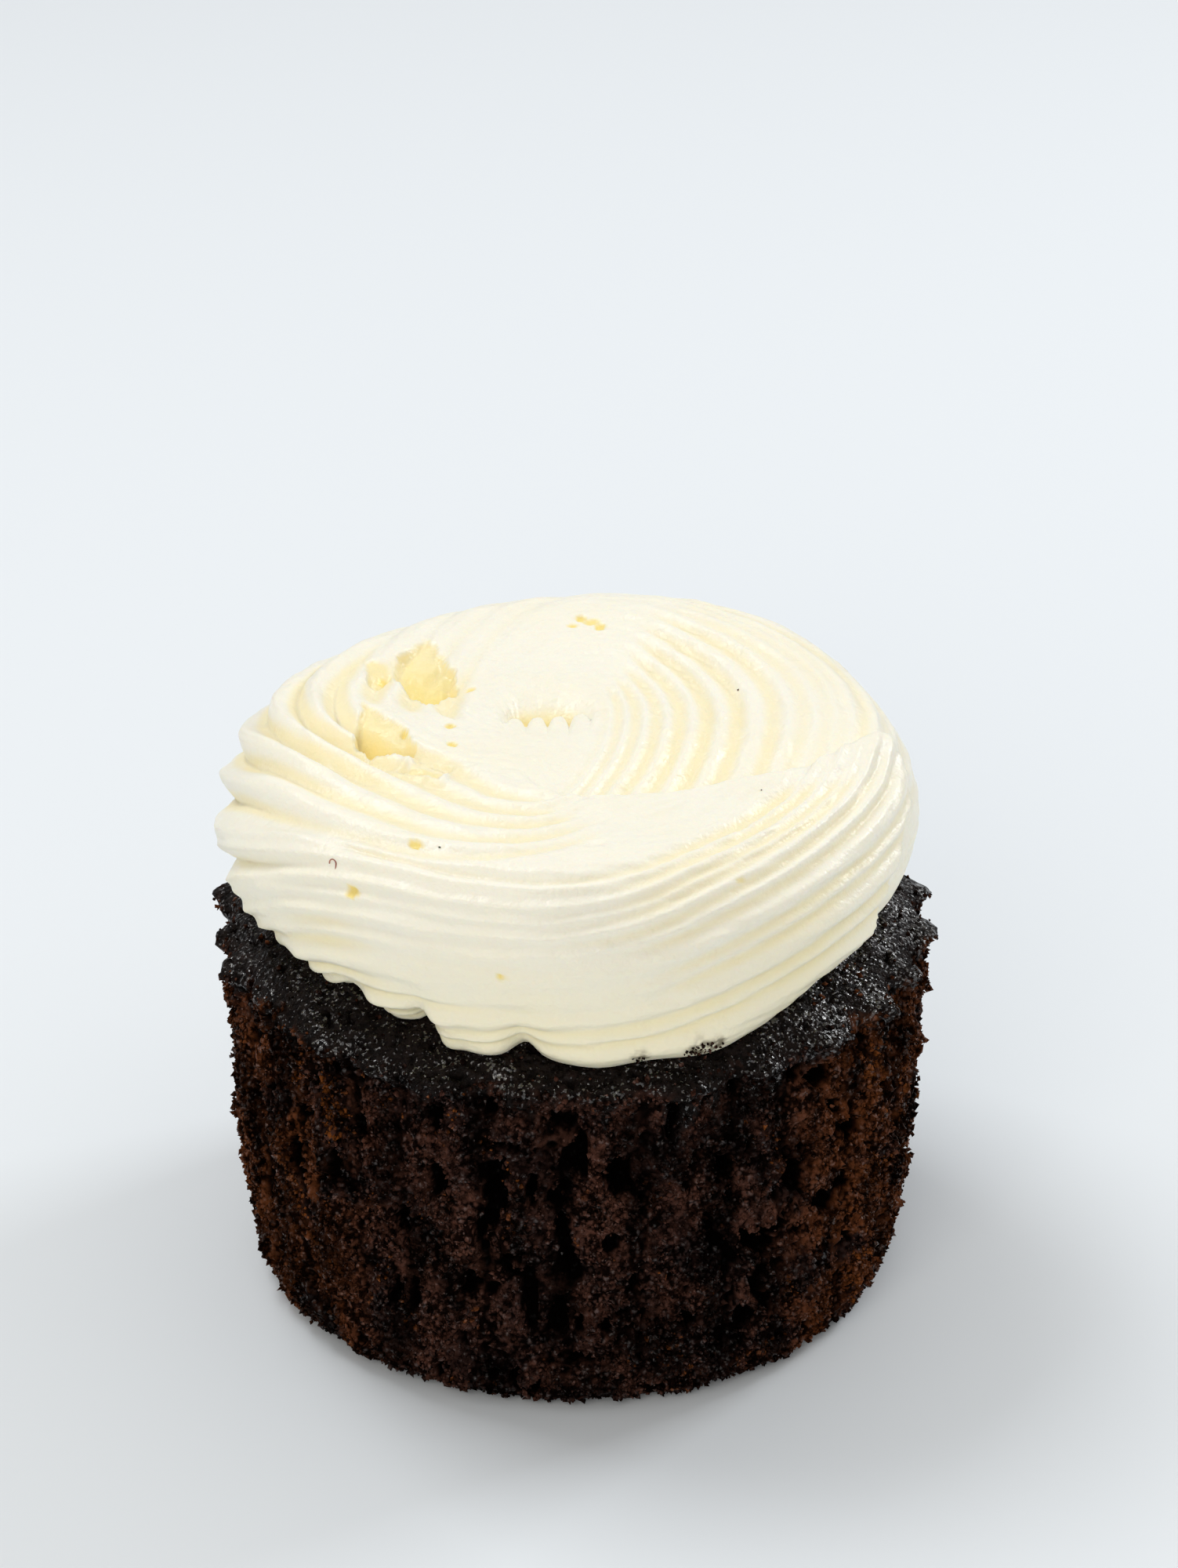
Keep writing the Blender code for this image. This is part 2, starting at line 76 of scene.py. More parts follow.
# Where the shoulder swells past the outline: (azimuth, offset)
SHOULDER_OFFSET = (
    (-175, 0.5), (-150, 0.1), (-100, 0.0), (-25, 0.0), (-5, 0.6), (10, 0.8), (25, 1.1), (50, 1.7),
    (65, 1.7), (82, 1.3), (98, 0.8), (115, 0.4), (131, 0.1), (150, 0.3),
)

# Edge where the outer band lies over the inner turn: (azimuth, arc length)
CREASE = (
    (-140, 9.0), (-120, 10.0), (-100, 12.0), (-85, 13.3), (-72, 14.0), (-58, 15.3), (-48, 16.3),
    (-35, 18.3), (-25, 21.5), (-13, 24.7), (0, 29.0),
)
INNER_DROP = ((-120, 0.0), (-100, 0.8), (-80, 1.7), (-60, 2.3), (-40, 2.7), (-20, 2.3), (-8, 1.5),
              (5, 0.8), (40, 0.0))

# Blunt end of the rope, past which the turn below shows: (azimuth, arc length)
TAIL_END = ((-45, 50.0), (-35, 44.0), (-25, 38.0), (-10, 34.0), (0, 29.0))

# Ridges of the inner turn: arcs of one radius, side by side along +X
ARC_RADIUS = 30.0  # in front of the arcs' middle
ARC_RADIUS_BEHIND = 15.0
ARC_CENTRE_Y = 4.0
ARC_GROOVES = (2.9, 4.3, 6.0, 8.0, 10.3, 12.9, 15.9, 19.4, 22.3, 24.6, 26.2, 28.3, 30.8, 33.4, 36.2)
ARC_DEPTHS = (0.2, 0.35, 0.4, 0.45, 0.5, 0.55, 0.5, 0.45, 0.3, 0.25, 0.2, 0.35, 0.3, 0.3, 0.25)

# Ridges of the outer band: two fans of grooves, each measured from a leading groove
UPPER_LEAD = (
    (-290, 58.0), (-260, 47.0), (-235, 37.5), (-215, 34.0), (-200, 32.8), (-186, 30.6), (-175, 27.7),
    (-165, 24.8), (-150, 22.4), (-135, 21.4), (-116, 21.2), (-97, 19.4), (-85, 16.8), (-70, 14.0),
)
UPPER_SPREAD = ((-260, 1.9), (-220, 1.8), (-186, 1.8), (-165, 1.92), (-150, 1.85), (-135, 1.65),
                (-116, 1.45), (-97, 1.2), (-85, 1.1))
UPPER_GROOVES = (-11.0, -8.8, -6.6, -4.4, -2.2, 0.0, 2.4, 4.8)
UPPER_HEIGHT = (
    (-300, 0.0), (-265, 0.2), (-225, 0.4), (-205, 1.0), (-185, 2.0), (-172, 2.2), (-160, 1.5),
    (-148, 0.9), (-120, 0.5), (-95, 0.4), (-75, 0.0),
)
LOWER_LEAD = (
    (-290, 70.0), (-260, 64.0), (-220, 52.0), (-200, 46.5), (-180, 41.5), (-165, 37.8), (-153, 35.0),
    (-143, 32.6), (-135, 31.2), (-127, 30.3), (-109, 30.0), (-91, 29.7), (-78, 28.3), (-66, 26.2),
    (-45, 24.3), (-30, 23.8), (0, 24.2),
)
LOWER_SPREAD = ((-200, 1.35), (-170, 1.3), (-150, 1.15), (-120, 1.05), (-91, 0.95), (-66, 1.04),
                (-41, 1.0), (-15, 0.93), (0, 0.8))
# Each groove's place in the fan, and its weight on the left side
LOWER_GROOVES = (
    (0.0, 0.2), (1.7, 1.0), (3.4, 0.15), (4.6, 0.3), (6.4, 0.4), (8.2, 0.6), (11.0, 0.6), (12.6, 0.5),
    (15.4, 0.5), (17.0, 0.5),
)
LOWER_HEIGHT = (
    (-300, 0.0), (-265, 0.4), (-225, 0.7), (-200, 1.5), (-175, 2.1), (-158, 1.7), (-145, 1.1),
    (-120, 0.5), (-90, 0.45), (-60, 0.6), (-30, 0.6), (-10, 0.32), (0, 0.0),
)

# Torn pits: (depth, azimuth of the deep end, corners seen from above, running anticlockwise)
PITS = (
    (2.3, 245, ((-11.4, 8.5), (-11.7, 13.0), (-14.6, 20.5), (-17.9, 16.5), (-18.2, 11.0), (-14.4, 5.6))),
    (1.0, 230, ((-18.0, 10.5), (-17.6, 14.8), (-21.0, 14.6), (-20.4, 9.0))),
    (2.3, 225, ((-15.0, -3.2), (-16.6, 0.9), (-20.8, 5.6), (-21.4, -2.6), (-19.4, -5.0), (-16.0, -5.4))),
    (0.5, 240, ((-11.4, -7.4), (-14.8, -5.6), (-16.6, -8.0), (-12.8, -10.4))),
)

# Burst air bubbles in the cream: (azimuth, arc length, half width along the rope, half height, depth)
BUBBLES = (
    (-121.7, 27.5, 0.85, 0.5, 0.28), (-128.3, 34.2, 0.8, 0.7, 0.35), (175.0, 12.0, 0.6, 0.6, 0.3),
    (-165.8, 12.1, 0.65, 0.55, 0.3), (138.3, 13.7, 0.7, 0.45, 0.2), (-178.7, 16.4, 0.55, 0.45, 0.3),
    (148.6, 22.1, 0.6, 0.6, 0.25), (-101.0, 38.9, 0.5, 0.4, 0.2), (88.5, 22.6, 0.7, 0.8, 0.3),
    (85.5, 22.0, 1.2, 0.7, 0.2), (83.0, 21.2, 0.6, 0.7, 0.3), (90.5, 21.4, 0.7, 0.5, 0.22),
    (-16.0, 23.9, 2.0, 0.4, 0.25), (-13.5, 24.9, 1.0, 0.4, 0.25), (-60.0, 31.5, 0.6, 0.4, 0.12),
)
# Shallow finger-soft dents: (azimuth, arc length, half width, half height, depth)
DENTS = ((-85.9, 23.8, 1.3, 0.9, 0.25), (-52.1, 25.2, 1.3, 0.8, 0.2))

# Cream soiled with wet crumb at its foot: (azimuth, arc length, half width, half height, strength)
SOILED = ((-68.5, 46.9, 2.3, 1.7, 0.9), (-79.0, 47.2, 1.0, 1.2, 0.8))

SIDE_ARC = 33.4  # radius at which places on the side are measured around the cake
GAP_SHADE = (0.0010, 0.0006, 0.0005)  # painted shade: near black, put deep between the granules and in the hollows
SOIL = (0.13, 0.105, 0.055)  # colour of wet crumb smeared in the cream
FIBRE_COLOURS = ((0.30, 0.10, 0.07), (0.45, 0.22, 0.15))
SKY_COLOUR = (1.0, 0.98, 0.96, 1.0)
SKY_STRENGTH = 0.5
AIM = (0.0, 0.0, 0.03)  # what the lights point at
# Square soft lights: (name, place, side, power, colour)
LAMPS = (
    ("key", (-0.34, 0.25, 0.80), 0.36, 2.8, (0.98, 0.99, 0.995)),
    ("window", (0.60, 0.40, 0.50), 0.24, 2.3, (0.96, 0.98, 1.0)),
    ("fill", (-0.20, -0.72, 0.50), 0.50, 2.2, (1.0, 0.945, 0.865)),
)

# Crumbs and specks on the cream: (x, y, z, reach, grains, grain size)
STUCK = (
    (11.7, -30.3, 40.1, 2.0, 70, 0.28), (6.1, -31.7, 39.8, 0.8, 16, 0.28), (17.6, -12.4, 57.6, 0.2, 1, 0.2),
    (16.0, 9.6, 57.5, 0.2, 1, 0.2), (-12.2, -25.3, 57.3, 0.2, 1, 0.2),
)
FIBRE = (-22.2, -22.5, 54.9)
FIBRE_RADIUS = 0.07
FIBRE_BEND = 0.4  # radius of the hook
FIBRE_HOOK = 200  # degrees that the hook turns

# Large holes in the torn side: (azimuth, height, half width, half height, depth)
HOLES = (
    (-117.6, 37.2, 1.1, 1.0, 1.2), (-100.7, 30.5, 1.3, 0.9, 1.8), (-102.1, 25.0, 1.6, 1.2, 2.2),
    (-119.6, 20.0, 0.9, 1.6, 1.8), (-100.4, 16.3, 1.3, 1.3, 1.8), (-117.4, 11.6, 0.8, 2.2, 1.8),
    (-107.9, 13.7, 0.9, 1.6, 1.6), (-83.4, 27.5, 2.0, 1.8, 2.4), (-50.7, 23.2, 1.4, 1.6, 2.2),
    (-49.4, 21.0, 1.1, 1.2, 2.0), (-57.9, 17.0, 2.3, 2.1, 2.8), (-41.8, 25.8, 1.4, 2.2, 1.8),
    (-46.3, 33.1, 2.0, 1.2, 2.0), (-59.7, 8.6, 1.4, 1.5, 1.9), (-70.8, 10.4, 1.5, 1.1, 1.8),
    (-65.0, 26.6, 1.2, 1.6, 1.8), (-92.0, 26.2, 1.0, 0.9, 1.5), (-127.0, 29.5, 1.1, 1.6, 1.6),
    (-136.0, 20.0, 1.0, 2.0, 1.6), (-30.0, 15.0, 1.2, 1.8, 1.8), (-88.0, 6.5, 1.5, 0.9, 1.7),
)


# What a user would change


def length(name, description, millimetres):
    return bpy.props.FloatProperty(
        name=name, description=description, default=millimetres * MM, unit="LENGTH", precision=5
    )


def count(name, description, default):
    return bpy.props.IntProperty(name=name, description=description, default=default, min=1)


def share(name, description, default):
    return bpy.props.FloatProperty(
        name=name, description=description, default=default, min=0.0, max=1.0, subtype="FACTOR"
    )


def number(name, description, default):
    return bpy.props.FloatProperty(name=name, description=description, default=default)


def colour(name, description, default):
    return bpy.props.FloatVectorProperty(
        name=name, description=description, default=default, size=3, min=0.0, max=1.0, subtype="COLOR"
    )


class CakeSettings(bpy.types.PropertyGroup):
    """Sizes and colours of the baked cake."""

    rim_radius: length("Lip radius", "Lip of the cake, where the paper case ended", 35.0)
    rim_height: length("Lip height", "Height of the lip over the table", 36.7)
    side_top_radius: length("Side radius, top", "Just under the lip", 33.7)
    side_top_height: length("Side height", "Where the side meets the lip", 34.6)
    side_bottom_radius: length("Side radius, bottom", "Just over the rounded edge", 32.2)
    side_bulge: length("Side bulge", "Swell of the side between its ends", 0.5)
    bottom_round: length("Bottom edge", "Radius of the edge between side and bottom", 3.4)
    crust_rise: length("Crust rise", "From the lip to the middle of the dome", 6.8)
    crust_power: number("Crust power", "How flat the dome is in the middle", 4.3)
    crust_bump: length("Crust bumps", "Height of the soft bumps of the crust", 0.25)
    flutes: count("Flutes", "Folds of the paper case printed into the side", 28)
    flute_depth: length("Flute depth", "Depth of the printed folds", 0.9)
    lip_flake: length("Lip flakes", "How far the torn flakes stand out", 1.1)
    lip_lift: length("Flake lift", "How far the flakes curl up and down", 0.9)
    front_calm: share("Calm front", "How far the flakes vanish at the front", 0.65)
    crag_depth: length("Crag depth", "Depth of the torn crumb", 0.75)
    crag_size: length("Crag size", "Size of the torn lumps", 4.2)
    grain_depth: length("Grain depth", "Relief of the single grains", 0.55)
    grain_size: length("Grain size", "Size of the single grains", 1.05)
    pores: count("Pores", "Air holes of the crumb, all round", 380)
    void_depth: length("Voids", "Depth of the irregular voids between lumps", 1.5)
    columns: count("Columns", "Faces around the cake", 520)
    row_step: length("Row height", "Height of the faces of the side", 0.3)
    crumb: colour("Crumb", "Dark moist chocolate crumb", (0.0250, 0.0118, 0.0095))
    crumb_light: colour("Crumb, lighter", "Browner patches", (0.086, 0.0365, 0.0260))
    # painted warm side light: lighter, more orange crumb for the sides away from the front
    crumb_side_light: colour("Crumb, dry", "Toasted sides", (0.128, 0.0385, 0.0120))
    crust: colour("Crust", "Baked skin on top", (0.0068, 0.0048, 0.0042))


class CreamSettings(bpy.types.PropertyGroup):
    """Sizes and colours of the piped cream."""

    gap: length("Gap", "Between the crust and the cream", 0.3)
    widest: length("Widest place", "Arc length at which the cream is widest", 38.9)
    widest_height: length("Widest height", "Height of the widest place", 49.0)
    under_length: length("Underside", "Length of the rows under the cream", 31.0)
    lobe_reach: length("Lobe reach", "How far the lobes of the foot run up", 8.8)
    crease_width: length("Crease width", "Width of the step where the band lies on top", 1.1)
    edge_roll: length("Edge roll", "How far the band's upper edge swells", 0.6)
    tail_step: length("Tail step", "Thickness of the rope's blunt end", 0.8)
    ledge_step: length("Ledge", "Fold under the first lower groove", 0.55)
    hole_x: length("Hole place", "Middle of the hole along X", -2.6)
    hole_half_width: length("Hole half width", "Half width of the hole", 4.3)
    hole_back: length("Hole back", "Back edge of the hole along Y", 11.4)
    hole_front: length("Hole front", "Toothed front edge of the hole along Y", 4.5)
    hole_depth: length("Hole depth", "Depth of the hole", 2.8)
    tooth_pitch: length("Tooth pitch", "Spacing of the blunt teeth", 2.1)
    tooth_notch: length("Tooth notch", "How far the notches cut back", 1.6)
    tooth_run: length("Tooth grooves", "Length of the grooves between the teeth", 6.5)
    pit_shallow: share("Pit slope", "Depth at a pit's shallow end against its deep end", 0.12)
    pit_wall: length("Pit wall", "Width of the torn walls", 0.8)
    streak: length("Streaks", "Fine streaks drawn out along the rope", 0.16)
    ripple: length("Ripple", "Fine ripples beside the large ridges", 0.07)
    columns: count("Columns", "Faces around the swirl", 416)
    row_step: length("Row height", "Spacing of the rows down the swirl", 0.215)
    under_rows: count("Rows underneath", "Rows of the underside", 7)
    white: colour("Cream", "Whipped cream", (0.915, 0.893, 0.775))
    # painted shade: yellow put in the cream's pits, hole, bubbles and grooves and low on its wall
    yellow: colour("Cream, rich", "Torn and hollow places", (0.93, 0.76, 0.26))


class CrumbSettings(bpy.types.PropertyGroup):
    """Loose grains on the torn side, and what stuck to the cream."""

    dark_count: count("Dark grains", "Grains of the crumb's own colour", 18000)
    brown_count: count("Brown grains", "Grains a little lighter", 18000)
    orange_count: count("Orange grains", "Toasted grains", 8000)
    smallest: length("Smallest grain", "Diameter", 0.28)
    largest: length("Largest grain", "Diameter", 0.85)
    dark: colour("Dark grain", "Moist crumb", (0.0250, 0.0118, 0.0095))
    brown: colour("Brown grain", "Drier crumb", (0.086, 0.0365, 0.0260))
    # painted warm side light: lighter, more orange grains for the sides away from the front
    side_light: colour("Dry grain", "Toasted sides", (0.128, 0.0385, 0.0120))
    orange: colour("Orange grain", "Toasted crumb", (0.20, 0.060, 0.013))


class StageSettings(bpy.types.PropertyGroup):
    """Floor, light and camera."""

    floor_size: length("Floor", "Side of the square floor", 4000.0)
    floor: colour("Floor colour", "Plain pale floor", (0.785, 0.83, 0.87))
    camera: bpy.props.FloatVectorProperty(
        name="Camera", description="Place of the camera", size=3, subtype="TRANSLATION", unit="LENGTH",
        default=(0.001448, -0.372573, 0.244576),
    )
    camera_tilt: number("Camera tilt", "Degrees from straight down", 62.593)
    lens: number("Lens", "Focal length in millimetres on a 36 mm sensor", 99.0)


def read(group):
    """The group's values by name, its lengths in millimetres."""
    values = {}
    for name, prop in group.bl_rna.properties.items():
        if name in ("rna_type", "name"):
            continue
        value = getattr(group, name)
        if prop.type == "FLOAT" and prop.unit == "LENGTH" and not prop.is_array:
            value = round(value / MM, 5)
        values[name] = value
    return SimpleNamespace(**values)


# Curves and noise


def curve(knots, x):
    """Smooth curve through (x, value) knots, level beyond the first and the last."""
    xs, ys = np.array(knots, float).T
    slopes = np.gradient(ys, xs)
    x = np.clip(x, xs[0], xs[-1])
    i = np.clip(np.searchsorted(xs, x) - 1, 0, len(xs) - 2)
    span = xs[i + 1] - xs[i]
    t = (x - xs[i]) / span
    rise = t * t * (3 - 2 * t)
    bend = t * (1 - t) * span * (slopes[i] * (1 - t) - slopes[i + 1] * t)
    return ys[i] + (ys[i + 1] - ys[i]) * rise + bend


def ring_curve(knots, azimuth):
    """Like curve, through knots in -180..180 degrees that repeat every turn."""
    turns = [(a + 360 * k, v) for k in (-1, 0, 1) for a, v in knots]
    return curve(turns, azimuth)


def ease(x, start, end):
    """0 before start, 1 after end, smooth between."""
    t = np.clip((x - start) / (end - start), 0, 1)
    return t * t * (3 - 2 * t)


def sampled(function, points, size):
    """Value of a noise function at (n, 3) points, its features about size across."""
    return np.array([function(Vector(p)) for p in (points / size).tolist()])


def cells(point):
    """Distance to the nearest cell's middle."""
    return noise.voronoi(point)[0][0]


def billows(point):
    """Rounded lumps with sharp valleys between them."""
    return noise.turbulence(point, 3, True)


def polar(x, y):
    return np.degrees(np.arctan2(y, x)), np.hypot(x, y)


def turned(angle):
    """Degrees brought into -180..180."""
    return (angle + 180) % 360 - 180


# Cake


def crust_height(cake, x, y):
    """Height of the domed crust, also what the cream's underside follows."""
    radius = np.minimum(np.hypot(x, y), cake.rim_radius)
    dome = cake.rim_height + cake.crust_rise * (1 - (radius / cake.rim_radius) ** cake.crust_power)
    bumps = np.sin(0.55 * x + 0.3 * y) * np.sin(0.5 * y - 0.2 * x + 1.0)
    return dome + cake.crust_bump * bumps * (1 - ease(radius, 30, 35))


def flute_wave(cake, azimuth, sharpness):
    """Crests of the paper case's folds, uneven in place and strength: 1 on a crest, 0 in a fold."""
    random = np.random.default_rng(SEED)
    folds = np.arange(cake.flutes) + random.uniform(-0.22, 0.22, cake.flutes)
    strength = random.uniform(0.45, 1.15, cake.flutes)
    turn = (azimuth / 360.0 * cake.flutes - folds[0]) % cake.flutes
    ends = np.append(folds - folds[0], cake.flutes)
    flute = np.searchsorted(ends, turn, side="right") - 1
    along = (turn - ends[flute]) / (ends[flute + 1] - ends[flute])
    crest = 1 - np.abs(2 * along - 1)
    return strength[flute] * (1 - (1 - crest) ** sharpness)


def cake_outline(cake):
    """(radius, height) rows from the middle of the bottom, up the side and over the crust."""
    bottom, top = cake.side_bottom_radius, cake.side_top_radius
    rows = [(r, 0.0) for r in (0.0, 9.0, 18.0, bottom - cake.bottom_round)]
    for turn in np.linspace(0, np.pi / 2, 7)[1:]:
        rows.append((
            bottom - cake.bottom_round * (1 - np.sin(turn)),
            cake.bottom_round * (1 - np.cos(turn)),
        ))
    for up in np.linspace(0, 1, 26)[1:]:
        rows.append((
            bottom + (top - bottom) * up + cake.side_bulge * 4 * up * (1 - up),
            cake.bottom_round + (cake.side_top_height - cake.bottom_round) * up,
        ))
    rows.append((top + 0.5, cake.side_top_height + 1.0))
    rows.append((cake.rim_radius - 0.2, cake.rim_height - 0.5))
    for inward in (0.15, 0.7, 1.6, 2.8, 4.5, 7.0, 11.0, 16.0, 22.0, 28.0, cake.rim_radius):
        radius = cake.rim_radius - inward
        rows.append((radius, float(crust_height(cake, radius, 0.0))))
    return np.array(rows)


def fine_rows(cake):
    """The outline in short steps where it shows, and long ones below and under the cream."""
    rows = cake_outline(cake)
    lengths = np.concatenate([[0.0], np.cumsum(np.hypot(*np.diff(rows, axis=0).T))])
    places = [0.0]
    while places[-1] < lengths[-1]:
        r = np.interp(places[-1], lengths, rows[:, 0])
        z = np.interp(places[-1], lengths, rows[:, 1])
        hidden = (z < 0.05 and r < 28) or (z > cake.rim_height and r < 27)
        places.append(places[-1] + (3.5 if hidden else cake.row_step))
    places[-1] = lengths[-1]
    radii, heights = (np.interp(places, lengths, column) for column in rows.T)
    return list(zip(radii.tolist(), heights.tolist()))


def dug(arc, height, spots, wobble):
    """Depth of holes, each (azimuth, height, half width, half height, depth), with ragged edges."""
    depth = np.zeros_like(arc)
    turn = 2 * np.pi * SIDE_ARC
    for azimuth, middle, half_width, half_height, deep in spots:
        across = (arc - np.radians(azimuth) * SIDE_ARC + turn / 2) % turn - turn / 2
        near = (np.abs(across) < 2 * half_width) & (np.abs(height - middle) < 2 * half_height)
        away = np.hypot(across[near] / half_width, (height[near] - middle) / half_height) + wobble[near]
        depth[near] = np.maximum(depth[near], deep * (1 - ease(away, 0.5, 1.08)))
    return depth


def scattered_pores(cake):
    """Seeded air holes all round the torn side, in the form that dug takes."""
    random = np.random.default_rng(SEED + 1)
    pores = []
    for _ in range(cake.pores):
        half = 0.3 + 0.9 * random.random() ** 2.5
        tall = random.uniform(0.8, 2.4)
        pores.append((
            random.uniform(-180, 180), random.uniform(1.0, 35.6),
            half / tall**0.5, half * tall**0.5, random.uniform(0.7, 1.3) * (0.4 + half),
        ))
    return pores


def shape_cake(cake, points):
    """Moves the turned cake's points, and gives each one its painted shade in hollows, how baked it is, its
    painted warm side light and how wet it is.
    """
    x, y, z = points.T
    azimuth, radius = polar(x, y)
    outer = 1 - ease(z, cake.rim_height, cake.rim_height + 1.6)
    side = ease(z, 1.0, 7.0) * outer
    lip = ease(z, cake.side_top_height - 1.5, cake.rim_height - 0.5) * outer
    lip *= 1 - cake.front_calm * ease(azimuth, -150, -120) * (1 - ease(azimuth, -60, -35))
    out = side * cake.flute_depth * (flute_wave(cake, azimuth, 1.4) - 0.5)
    out += lip * cake.lip_flake * (flute_wave(cake, azimuth, 1.0) - 0.55)
    stretched = points * (1.0, 1.0, 0.6)
    out += side * sampled(noise.noise, stretched, cake.crag_size) * cake.crag_depth
    out += side * sampled(noise.noise, stretched + 50.0, cake.crag_size * 0.45) * cake.crag_depth * 0.6

    valley = np.array(out)
    torn = ease(z, 0.2, 2.0) * (1 - ease(z, cake.rim_height - 0.6, cake.rim_height + 0.3))
    wobble = 0.8 * sampled(noise.noise, points, 1.7) + 0.5 * sampled(noise.noise, points, 0.75)
    arc = np.radians(azimuth) * SIDE_ARC
    hollow = dug(arc, z, HOLES, wobble)
    hollow = np.maximum(hollow, dug(arc, z, scattered_pores(cake), wobble))
    voids = ease(sampled(noise.noise, points * (1.0, 1.0, 0.5) + 120.0, 2.0), 0.28, 0.55)
    hollow = np.maximum(hollow, cake.void_depth * voids)
    grains = 0.55 - sampled(cells, points, cake.grain_size)
    lumps = sampled(billows, points * (1.0, 1.0, 0.75), 2.1) - 0.45
    fine = cake.grain_depth * grains + 0.7 * lumps + 0.5 * sampled(noise.noise, points + 20.0, 0.9)
    out += torn * (fine - hollow * ease(z, 0.0, 3.0))

    scale = 1 + out / np.maximum(radius, 1.0)
    lift = lip * cake.lip_lift * (flute_wave(cake, azimuth + 2.0, 1.0) - 0.5)
    height = np.where(z > cake.rim_height + 1.6, crust_height(cake, x, y), z + lift)
    on_top = ease(z, cake.rim_height - 1.0, cake.rim_height) * ease(radius, 24, 27)
    bumps = 0.28 * (sampled(billows, points + 9.0, 1.6) - 0.5) - 0.2 * sampled(noise.noise, points, 3.1)
    pocks = ease(sampled(noise.noise, points + 31.0, 0.95), 0.36, 0.6)
    height = height + on_top * (bumps - 0.55 * pocks)
    height = np.maximum(height, 0.0)
    # painted shade: darkens holes, voids, crag troughs, flute grooves and crust dents towards black
    dark = hollow / 1.3 + 0.5 * np.clip(-fine / 0.5, 0, 1) + 0.35 * side * ease(-valley, 0.1, 0.9)
    dark += 0.5 * side * (1 - flute_wave(cake, azimuth, 1.4)) ** 2
    dark = np.clip(np.clip(dark, 0, 1) * torn + 0.8 * pocks * on_top, 0, 1)
    drips = np.clip(sampled(noise.noise, points * (1.0, 1.0, 0.22) + 70.0, 1.6), 0, 1)
    crust = ease(z + 1.3 * wobble + 8.0 * drips + 1.2 * flute_wave(cake, azimuth, 1.4), 35.4, 38.6)
    wet = ease(azimuth, -78, -40) * (1 - ease(azimuth, 60, 100))
    # painted warm side light grows with the angle away from the front; the hollow look is painted shade
    looks = {"hollow": dark, "crust": crust, "side_light": ease(np.abs(turned(azimuth + 90)), 25, 55), "wet": wet}
    return np.stack([x * scale, y * scale, height], axis=-1), looks


# Cream


def outline_by_length():
    """The cream's outline as radius and height curves over the arc length."""
    points = np.array(SWIRL_OUTLINE)
    steps = np.hypot(*np.diff(points, axis=0).T)
    lengths = np.concatenate([[0.0], np.cumsum(steps)])
    radii = list(zip(lengths, points[:, 0]))
    heights = list(zip(lengths, points[:, 1]))
    return radii, heights, float(lengths[-1])


RADII, HEIGHTS, WALL_LENGTH = outline_by_length()


def grooves(place, spots, half_width, roundness, power=2.0):
    """0 on the crests and 1 at the bottom of a groove, for grooves of unequal weight.

    spots is a list of (position, weight). A power of 1 leaves a sharp fold at the bottom, and 2 a hollow.
    """
    depth = np.zeros_like(place)
    for spot, weight in spots:
        across = np.clip(1 - np.abs((place - spot) / half_width) ** power, 0, 1)
        depth = np.maximum(depth, weight * across**roundness)
    return depth


def inner_ridges(azimuth, s):
    """Arcs of the inner turn, on the right side of the top and down the wall below them."""
    x = s * np.cos(np.radians(azimuth))
    y = s * np.sin(np.radians(azimuth))
    bend = np.where(y > ARC_CENTRE_Y, ARC_RADIUS_BEHIND, ARC_RADIUS)
    place = x + (y - ARC_CENTRE_Y) ** 2 / (2 * bend)
    pitch = curve(((3, 0.75), (8, 1.1), (14, 1.35), (20, 1.5), (30, 1.35)), place)
    cut = grooves(place, list(zip(ARC_GROOVES, ARC_DEPTHS)), pitch, 1.6)
    reach = ease(azimuth, -112, -92) * (1 - ease(azimuth, 58, 84)) * (place > 1.5)
    return -cut * reach


def band_ridges(azimuth, s):
    """The two fans of grooves on the outer band, from the back round the left to the tail."""
    upper_lead = curve(UPPER_LEAD, azimuth)
    upper_spread = curve(UPPER_SPREAD, azimuth)
    lower_lead = curve(LOWER_LEAD, azimuth)
    lower_spread = curve(LOWER_SPREAD, azimuth)
    hub = 1 - ease(azimuth, -205, -190)
    front = ease(azimuth, -150, -128)
    half = curve(((-220, 1.35), (-150, 1.1), (-110, 1.05), (-40, 1.05), (0, 0.85)), azimuth)
    roundness = curve(((-170, 1.35), (-120, 2.0), (0, 2.2)), azimuth)
    power = curve(((-165, 1.1), (-125, 2.0)), azimuth)

    upper = [(upper_lead + at * upper_spread, hub if at < -5 else 1.0) for at in UPPER_GROOVES]
    cut = grooves(s, upper, 1.15 * upper_spread, roundness, power)
    cut *= curve(UPPER_HEIGHT, azimuth)

    lower = [(lower_lead + at * lower_spread, left + (1 - left) * front) for at, left in LOWER_GROOVES]
    faint = ease(azimuth, -135, -110) * (1 - ease(azimuth, -85, -68)) * ease(s, 35.5, 37.5)
    faint = 1 - 0.75 * faint * (1 - ease(s, 41, 43))
    low = grooves(s, lower, half * 1.2 * lower_spread, roundness, power)
    low *= curve(LOWER_HEIGHT, azimuth) * faint
    return -np.maximum(cut, low)


def band_share(cream, azimuth, s):
    """1 on the outer band, 0 on the inner turn, past the rope's end and round the back."""
    above = ease(s - curve(CREASE, azimuth), -0.15, cream.crease_width)
    started = ease(azimuth, -140, -118)
    before_end = 1 - ease(s - curve(TAIL_END, azimuth), -0.3, 0.5)
    share_above = (above * started + 1 - started) * before_end * (1 - ease(azimuth, -3, 0))
    return np.where(azimuth > 0, 0.0, share_above)


